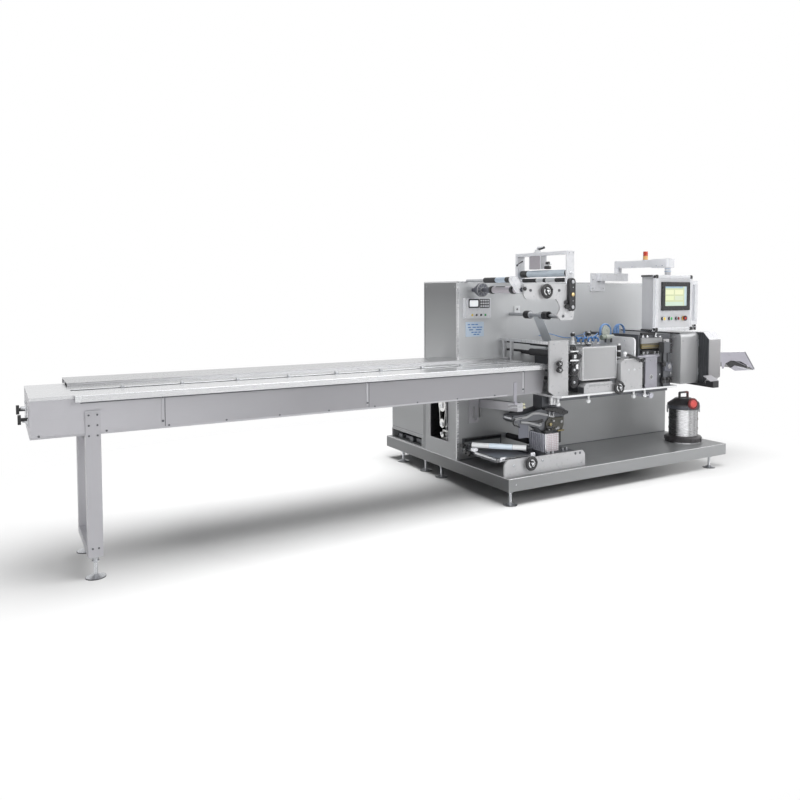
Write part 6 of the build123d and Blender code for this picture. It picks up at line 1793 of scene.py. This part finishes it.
def turning_bars():
    low, high = corners("turning_frame")
    rail_top = low[2] + 0.026
    near, far = np.array((0.322, 0.202, rail_top + 0.03)), np.array((0.021, 0.523, rail_top + 0.03))
    run = far - near
    wrap = [tube(row(near + run * 0.28, near + run * 0.66, 3), 20.4, 28)]
    lit = [piece("turning_film", wrap, "film")]
    lit.append(piece("turning_sleeves", [tube(row(near + run * a, near + run * b, 3), 18.8, 28)
        for a, b in ((0.04, 0.277), (0.663, 0.96))], "white"))
    piece("turning_collars", [turned(sleeve(21.5, 18.2, 8), near + run * a, run, 28) for a in (0.035, 0.95)],
        "black")
    lit.append(piece("turning_sheet", slab((270, 300, 4), (0.165, 0.335, rail_top - 0.012), "top", 3, 1),
        "slate"))
    bars = [slab((334, 23, 3), (0.165, low[1], rail_top - 0.013), "front", 3, 1),
        slab((10, 400, 2), (low[0], 0.355, rail_top), "top", 2.5, 0.8),
        slab((22, 395, 2), (high[0] - 0.013, 0.358, rail_top), "top", 3.5, 1)]
    piece("turning_rails", bars, "bright")
    piece("turning_edge", slab((418, 7, 1.5), (low[0], 0.365, rail_top - 0.006), "left", 1.5, 0.4),
        "polished")
    # Painted shade: a thin black sheet stands for the slot's dark inside.
    piece("turning_slot",
        slab(capsule((-135, 0), (120, 0), 4.5, 7), (0.165, low[1] - 0.003, rail_top - 0.012), "front", 1.2,
        0.3), "black")
    lit.append(piece("turning_clamps",
        [slab((34, 46, 4), (low[0] + 0.013, 0.438, rail_top + 0.001), "top", 22, 3),
        slab((40, 30, 4), (0.042, low[1] - 0.003, rail_top - 0.006), "front", 12, 2),
        slab((34, 34, 5), (0.3, low[1] - 0.003, rail_top - 0.004), "front", 10, 2)], "frame"))
    light_up(*lit)
    knobs = [star_knob(17, 20, (low[0] - 0.006, y, z), "left", 5)
        for y, z in BAR_KNOBS]
    stems = [turned([(6, -12), (6, 2), (0, 2)], (low[0] - 0.004, y, z), "left", 16)
        for y, z in BAR_KNOBS]
    piece("turning_knobs", knobs + stems, "black")
    heads = [(x, low[1] - 0.015, rail_top - 0.006) for x in (0.034, 0.05)]
    socket = turned([(9, 0), (9, 7), (7.5, 8.5), (5, 8.5), (5, 3), (0, 3)], (0, 0, 0), "front", 20)
    piece("turning_sockets", copies(socket, heads), "polished")
    piece("turning_back", slab((318, 62, 3), (0.165, 0.5622, low[2] + 0.036), "front", 1.5, 0.5), "housing")
    piece("turning_back_bar", slab((326, 16, 5), (0.165, 0.562, high[2] - 0.012), "front", 14, 3), "black")
    x, z = 0.39, 0.33
    piece("idler_sleeve", along_y(21.4, 20.2, x, z, 0.3, 0.555), "rubber")


def slide_and_beam():
    face = corners("lower_slide_plate")[0][1]
    # Painted shade: the holes' shallow cups are darkened to stand for their dark insides.
    piece("slide_holes",
        [turned([(9.5, 0), (9.5, 0.9), (8, 1.1), (7.2, 0.4), (0, 0.3)], (x, face, 0.279), "front", 24)
        for x in (0.56, 0.602)], "dark")
    piece("slide_bolts", screws(9.5, 5, [(0.024, face, 0.258), (0.268, face, 0.265)]), "turned")
    low, high = corners("support_beam")
    balls = [ball(10, (high[0] + 0.002, low[1] + dy, high[2] - dz), "right", 20)
        for dy, dz in ((0.004, 0.012), (0, 0.034))]
    balls += [ball(8, (high[0] + 0.002, low[1] + 0.03, high[2] - 0.018), "right", 20)]
    piece("beam_balls", balls, "ivory")
    piece("beam_edges", [slab((118, 5, 1.5), ((low[0] + high[0]) / 2, low[1], z), "front", 1.2, 0.4)
        for z in (high[2] - 0.006, high[2] - 0.028)], "turned")
    piece("beam_rods",
        [turned([(0, 0), (8, 0), (8, 66), (11, 70), (11, 84), (0, 86)], (x, 0.565, 0.572), "under", 20)
        for x in (0.09, 0.15)], "dim")
    strip = slab((26, 150, 4), (0.085, 0.065, 0.725), "front", 3, 1)
    hook = slab((26, 20, 4), (0.085, 0.062, 0.66), "front", 10, 2)
    piece("trough_hook", [strip, hook], "lilac")


class PACKER_OT_lower_unit(bpy.types.Operator):
    """Arm edges, pins, finned block, turning bars with their film, bolts and beam ends under the deck"""
    bl_idname = "packer.lower_unit"
    bl_label = "Lower film unit"

    def execute(self, context):
        swing_arm_parts()
        cooled_block()
        turning_bars()
        slide_and_beam()
        return {"FINISHED"}


# Cabinets, covers and chute

def cabinet_walls():
    low, high = corners("main_cabinet")
    width, height = (high[0] - low[0]) / MM, (high[2] - low[2]) / MM
    piece("cabinet_folds",
        [slab((15, height - 6, 2), (low[0] + 0.0085, low[1], (low[2] + high[2]) / 2), "front", 1.4, 0.4),
        slab((width - 6, 8, 2), ((low[0] + high[0]) / 2, low[1], high[2] - 0.005), "front", 1.4, 0.4),
        slab((465, 8, 2), (low[0], (low[1] + high[1]) / 2, high[2] - 0.005), "left", 1.2, 0.4),
        slab((8, height - 6, 2), (low[0], low[1] + 0.006, (low[2] + high[2]) / 2), "left", 1.2, 0.4)], "rail")
    rear_low, rear_high = corners("rear_cabinet")
    piece("cabinet_seams", [slab((3, 610, 1), (low[0], high[1], 0.493), "left", 0.8, 0.2),
        slab((500, 3, 1), (low[0], rear_low[1] + 0.27, 0.292), "left", 0.8, 0.2),
        slab((3, height - 30, 1), (low[0], high[1] - 0.022, (low[2] + high[2]) / 2), "left", 0.8, 0.2)],
        "dark")
    places = [(low[0], y, z) for y in (low[1] + 0.03, high[1] - 0.045) for z in (0.24, 0.7, 1.1, 1.44)]
    places += [(low[0], y, z) for y in (rear_low[1] + 0.03, rear_high[1] - 0.03) for z in (0.31, 0.76)]
    piece("cabinet_screws", screws(5, 2.5, places, "left"), "turned")
    front = [(x, low[1], z) for x in (0.6, 1.2, 1.8) for z in (1.455, 0.235)]
    piece("wall_screws", screws(4.5, 2, front), "turned")
    piece("wall_foot_seal", slab((width - 20, 5, 1.5), ((low[0] + high[0]) / 2, low[1], low[2] + 0.004),
        "front", 2, 0.5), "dark")
    base_low, base_high = corners("base_frame")
    edge = tube([(x, base_low[1] + 0.001, base_high[2] - 0.0012)
        for x in (base_low[0] + 0.003, base_high[0] - 0.003)], 2.2, 8)
    side = tube([(base_low[0] + 0.001, y, base_high[2] - 0.0012)
        for y in (base_low[1] + 0.003, base_high[1] - 0.003)], 2.2, 8)
    piece("platform_edges", [edge, side], "rail")


def rear_doors():
    """Doors, louvres, latches and hinges at the back and the right, which the photo leaves to guess"""
    doors, slats, latches, hinges = [], [], [], []
    latch = slab((24, 92, 11), (0, 0, 0), "back", 9, 3)
    hinge = turned([(0, 0), (6, 0), (7, 1), (7, 69), (6, 70), (0, 70)], (0, 0, -0.035), "top", 14)
    slat = slab((300, 9, 4), (0, 0, 0), "back", 5, 2.2)
    for node, count, foot in (("rear_cabinet", 3, 0.03), ("main_cabinet", 2, 0.64)):
        low, high = corners(node)
        leaf = (high[0] - low[0] - 0.04) / count
        tall, middle = high[2] - low[2] - foot - 0.03, (low[2] + foot + high[2] - 0.03) / 2
        for n in range(count):
            x = low[0] + 0.02 + (n + 0.5) * leaf
            doors.append(slab(((leaf - 0.014) / MM, tall / MM, 8), (x, high[1], middle), "back", 4, 1.2))
            latches.append(copies(latch, [(x - leaf / 2 + 0.05, high[1] + 0.004, middle)]))
            hinges.append(copies(hinge, [(x + leaf / 2 - 0.012, high[1] + 0.006, middle + share * tall)
                for share in (-0.35, 0.35)]))
            slats.append(copies(slat, row((x, high[1] + 0.004, middle - tall * 0.38),
                (x, high[1] + 0.004, middle - tall * 0.2), 7)))
    for node, depth, tall in (("main_cabinet", 0.42, 1.2), ("rear_cabinet", 0.47, 0.52)):
        low, high = corners(node)
        doors.append(slab((depth / MM, tall / MM, 8),
            (high[0], (low[1] + high[1]) / 2, (low[2] + high[2]) / 2), "right", 3, 1))
    piece("cabinet_doors", doors, "housing")
    piece("door_louvres", slats, "rail")
    piece("door_latches", latches, "guard")
    piece("door_hinges", hinges, "turned")


def side_openings():
    x, y, z = corners("main_cabinet")[0][0], 0.82, 0.488
    outer, inner = round_rectangle(268, 376, 14), round_rectangle(256, 364, 8)
    piece("window_trim", frame_ring(outer, inner, (x, y, z), "left", 3), "leg")
    # Painted shade: a black lining and back inside the window stand for the cabinet's dark inside.
    lining = frame_ring((259, 367, 4), (255, 363, 4), (x + 0.17, y, z), "left", 166)
    back = slab((256, 364, 4), (x + 0.1785, y, z), "left", 1.5, 0.4)
    piece("window_painted_shade", [lining, back], "black")
    low, high = corners("belt_drive")
    centre_y = (low[1] + high[1]) / 2
    caps = []
    for node_z, radius in ((0.552, 17), (0.412, 17), (0.345, 11)):
        caps.append(turned([(radius, 0), (radius, 4), (radius * 0.7, 7), (radius * 0.3, 7),
            (radius * 0.26, 4), (0, 4)], (low[0] + 0.001, centre_y, node_z), "left", 26))
    piece("drive_caps", caps, "polished")
    piece("window_stay", slab((4, 360, 1.5), (x + 0.004, centre_y - 0.098, z), "left", 3, 1), "turned")
    slot_y, slot_z = 1.325, 0.232
    piece("slot_trim", frame_ring((506, 86, 8), (488, 68, 4), (x, slot_y, slot_z), "left", 2.2), "housing")
    # Painted shade: a black back inside the slot stands for the cabinet's dark inside.
    piece("slot_painted_shade", slab((486, 66, 3), (x + 0.158, slot_y, slot_z), "left", 2, 0.5), "black")
    piece("slot_boxes",
        [slab((60 + 20 * (n % 2), 26 + 9 * (n % 3), 5), (x + 0.06 + 0.02 * (n % 2), 1.12 + 0.09 * n,
        0.197 + 0.02), "left", 34, 3) for n in range(5)], "dark")


def cover_parts():
    low, high = corners("cutter_cover")
    middle = (low + high) / 2
    piece("cutter_top_edge", slab((612, 9, 2), (low[0], middle[1] + 0.005, high[2] - 0.006), "left", 1.4,
        0.5), "black")
    piece("cutter_hinges", [slab((12, 56, 4), (high[0] - 0.004, low[1], z), "front", 5, 1.5)
        for z in (0.79, 1.01)], "turned")
    piece("cutter_seam", slab((3, 380, 1), (high[0] - 0.0125, low[1], middle[2]), "front", 0.8, 0.2), "dark")
    piece("cutter_grip",
        tube(smooth_path([(low[0], 0.3, 0.86), (low[0] - 0.028, 0.3, 0.865), (low[0] - 0.03, 0.3, 0.9),
        (low[0] - 0.03, 0.3, 0.98), (low[0] - 0.028, 0.3, 1.015), (low[0], 0.3, 1.02)], 26), 5.5, 12, Y),
        "polished")
    low, high = corners("outfeed_cover")
    middle = (low + high) / 2
    piece("outfeed_face", slab((126, 296, 3), (middle[0], low[1], middle[2] - 0.004), "front", 1.6, 0.5),
        "face")
    piece("outfeed_ridges",
        [tube([(x, low[1] + 0.0525, high[2] - 0.001) for x in (low[0] + 0.002, high[0] - 0.002)], 2.4, 8),
        tube([(x, low[1] + 0.0005, high[2] - 0.0525) for x in (low[0] + 0.002, high[0] - 0.002)], 2.4, 8)],
        "rail")
    piece("outfeed_tray", slab([(217, 729.5), (219, 733), (152, 768), (150, 764)], (1.8, 0, 0), "left", 94,
        0.8), "leg")
    near, low_z = corners("cutter_base")[0][1:]
    wedge = [(near, low_z + 0.003), (near, 0.7295), (low[1] - 0.002, 0.7295), (low[1] - 0.001, 0.7015),
        (0.3, 0.7015), (0.3, 0.694), (0.1, 0.688)]
    outline = [(-a / MM, b / MM) for a, b in wedge]
    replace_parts(piece("cutter_base_wedge", slab(outline, (1.801, 0, 0), "left", 66, 1.5), "guard"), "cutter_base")


def chute_parts():
    low, high = corners("discharge_chute")
    face = low[1]
    left, top_z, end, foot_z = low[0] / MM, high[2] / MM, high[0] / MM, low[2] / MM
    wall = [(left, top_z - 96), (left + 300, top_z - 96), (left + 310, top_z - 148),
        (left + 330, top_z - 148), (left + 350, top_z - 106), (left + 421, top_z - 86),
        (left + 552, top_z - 101), (left + 632, top_z - 136), (left + 684, top_z - 162), (end, foot_z + 3),
        (end, foot_z + 12), (left + 600, top_z - 20), (left, top_z)]
    floor = ribbon([(left + 2, top_z - 76), (left + 430, top_z - 76), (end - 4, foot_z + 8)], 1.5)
    depth = (high[1] - low[1]) / MM
    body = [slab(wall, (0, y, 0), "front", 3, 0.5) for y in (face + 0.003, high[1])]
    body.append(slab(floor, (0, high[1] - 0.003, 0), "front", depth - 6, 0.5))
    lip = [(left + 425, top_z - 152), (left + 470, top_z - 130), (left + 600, top_z - 154),
        (left + 660, top_z - 174), (end - 4, foot_z + 1), (left + 480, foot_z + 8)]
    body.append(slab(lip, (0, face + 0.006, 0), "front", 3, 0.5))
    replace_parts(piece("chute_body", body, "chute"), "discharge_chute")
    # Painted shade: a black sheet under the chute's floor.
    under = ribbon([(left + 3, top_z - 80), (left + 430, top_z - 80), (end - 6, foot_z + 3.5)], 1.2)
    piece("chute_floor_underside_shade", slab(under, (0, high[1] - 0.005, 0), "front", depth - 10, 0.6), "black")
    # Painted shade: a black sheet inside the near wall fills the arch, where the chute's inside lies in shadow.
    screen = [(left + 352, top_z - 100), (left + 421, top_z - 80), (left + 552, top_z - 96),
        (left + 645, top_z - 138), (left + 640, top_z - 172), (left + 600, top_z - 160),
        (left + 470, top_z - 136), (left + 425, top_z - 150)]
    piece("chute_arch_painted_shade", slab(screen, (0, face + 0.012, 0), "front", 4, 0.5), "black")
    top = [(low[0] + 0.002, high[2] - 0.001), (low[0] + 0.6, high[2] - 0.0202)]
    piece("chute_top_edges",
        [tube([(x, y, z) for x, z in top], 3.2, 8) for y in (face + 0.0015, high[1] - 0.0015)], "rail")
    slope = [(low[0] + 0.6, high[2] - 0.0202), (high[0] - 0.007, low[2] + 0.0135)]
    piece("chute_slope_edges",
        [tube([(x, y, z) for x, z in slope], 5, 8) for y in (face + 0.002, high[1] - 0.002)], "dark")
    foot = [(high[0] - 0.075, low[2] + 0.006), (low[0] + 0.5, high[2] - 0.145)]
    piece("chute_foot_edge", tube([(x, face + 0.0015, z) for x, z in foot], 3.4, 8), "turned")
    bolts = [(low[0] + x, face, high[2] - z) for x, z in ((0.03, 0.02), (0.03, 0.07), (0.2, 0.035),
        (0.4, 0.04))]
    piece("chute_screws", screws(5, 2.5, bolts), "turned")


class PACKER_OT_cabinets(bpy.types.Operator):
    """Folded edges, seams, window trim, openings with painted shade inside, cover edges, tray and chute edges"""
    bl_idname = "packer.cabinets"
    bl_label = "Cabinets and covers"

    def execute(self, context):
        cabinet_walls()
        rear_doors()
        side_openings()
        cover_parts()
        chute_parts()
        return {"FINISHED"}


# Scrap collector

def collector_parts():
    low, high = corners("collector_drum")
    head_low, head_high = corners("collector_head")
    x, y = (low[0] + high[0]) / 2, (low[1] + high[1]) / 2
    reach = (high[0] - low[0]) / 2 / MM
    foot = turned([(116, 4), (reach - 6, 3), (reach + 0.6, 8), (reach + 0.6, 40), (reach - 5, 46),
        (reach - 18, 48), (118, 54), (114.5, 54)], (x, y, low[2]), "top", 56)
    bumps = [slab((54, 34, 10), (x + math.cos(a) * reach * MM * 0.985, y + math.sin(a) * reach * MM * 0.985,
        low[2] + 0.024), (math.cos(a), math.sin(a), 0), 5, 2) for a in np.radians((30, 120, 210, 255, 300))]
    piece("collector_foot", [foot] + bumps, "lid")
    beads = [turned(ring_profile(114.4, 2.6, 8), (x, y, z), "top", 56) for z in (0.29, 0.3, 0.367, 0.376)]
    beads += [turned(sleeve(116.5, 113, 12, 2), (x, y, high[2] - 0.014), "top", 56)]
    # The beads carry the drum's painted reflections.
    piece("collector_beads", beads, "drum")
    piece("collector_rim", turned([(120, 2), (127.4, 3), (128, 8), (128, 24), (126.6, 28), (120, 29)],
        (x, y, head_low[2]), "top", 56), "band")
    piece("collector_clips",
        [slab((26, 62, 6), (x + math.cos(a) * 0.1275, y + math.sin(a) * 0.1275, head_low[2] - 0.004),
        (math.cos(a), math.sin(a), 0), 7, 2.5) for a in np.radians((150, 330))], "polished")
    facing = np.array((-0.26, -0.96, 0.12))
    centre = np.array((x, y, 0.508)) + np.array((-0.26, -0.96, 0)) * 0.124
    piece("latch_rim", turned([(30, -18), (43, -6), (45, 0), (45, 8), (41, 12), (31, 12.5), (30, 9)], centre,
        facing, 36), "maroon")
    piece("latch_face", turned([(30.5, 6), (30.5, 12), (27, 15.5), (18, 16.5), (17, 14.5), (6, 14.5), (5, 16),
        (0, 16)], centre, facing, 32), "coral")
    grip_z = head_high[2]
    path = smooth_path([(x + 0.046, y, head_high[2] - 0.058), (x + 0.05, y, head_high[2] - 0.03),
        (x + 0.046, y, grip_z - 0.012), (x + 0.03, y, grip_z - 0.0075), (x + 0.008, y, grip_z - 0.0075)], 30)
    piece("collector_grip", tube(path, 8.4, 14, Y), "maroon")


class PACKER_OT_collector(bpy.types.Operator):
    """Base ring, drum beads, lid rim, handle sleeve, latch and castors of the scrap collector"""
    bl_idname = "packer.collector"
    bl_label = "Scrap collector"

    def execute(self, context):
        collector_parts()
        return {"FINISHED"}


# The sidebar and the run

OPERATORS = [PACKER_OT_stage, PACKER_OT_finishes, PACKER_OT_screws, PACKER_OT_feet, PACKER_OT_conveyor,
             PACKER_OT_chain, PACKER_OT_handwheels, PACKER_OT_panel, PACKER_OT_arm, PACKER_OT_film_unit,
             PACKER_OT_control_box, PACKER_OT_seal_station, PACKER_OT_end_seal, PACKER_OT_lower_unit,
             PACKER_OT_cabinets, PACKER_OT_collector]


class PACKER_PT_sidebar(bpy.types.Panel):
    """Lists the machine's groups of pieces, its colours and its sizes"""
    bl_idname = "PACKER_PT_sidebar"
    bl_label = "Packing machine"
    bl_space_type = "VIEW_3D"
    bl_region_type = "UI"
    bl_category = "Packing machine"

    def draw(self, context):
        for operator in OPERATORS:
            self.layout.operator(operator.bl_idname)
        for group in (context.scene.packer_colours, context.scene.packer_sizes):
            for name in group.__annotations__:
                self.layout.prop(group, name)


def register():
    for kind in [FinishColours, FittingSizes, *OPERATORS, PACKER_PT_sidebar]:
        bpy.utils.register_class(kind)
    bpy.types.Scene.packer_colours = PointerProperty(type=FinishColours)
    bpy.types.Scene.packer_sizes = PointerProperty(type=FittingSizes)


def unregister():
    del bpy.types.Scene.packer_colours
    del bpy.types.Scene.packer_sizes
    for kind in reversed([FinishColours, FittingSizes, *OPERATORS, PACKER_PT_sidebar]):
        bpy.utils.unregister_class(kind)


def main():
    register()
    for operator in OPERATORS:
        group, name = operator.bl_idname.split(".")
        getattr(getattr(bpy.ops, group), name)()


if __name__ == "__main__":
    main()
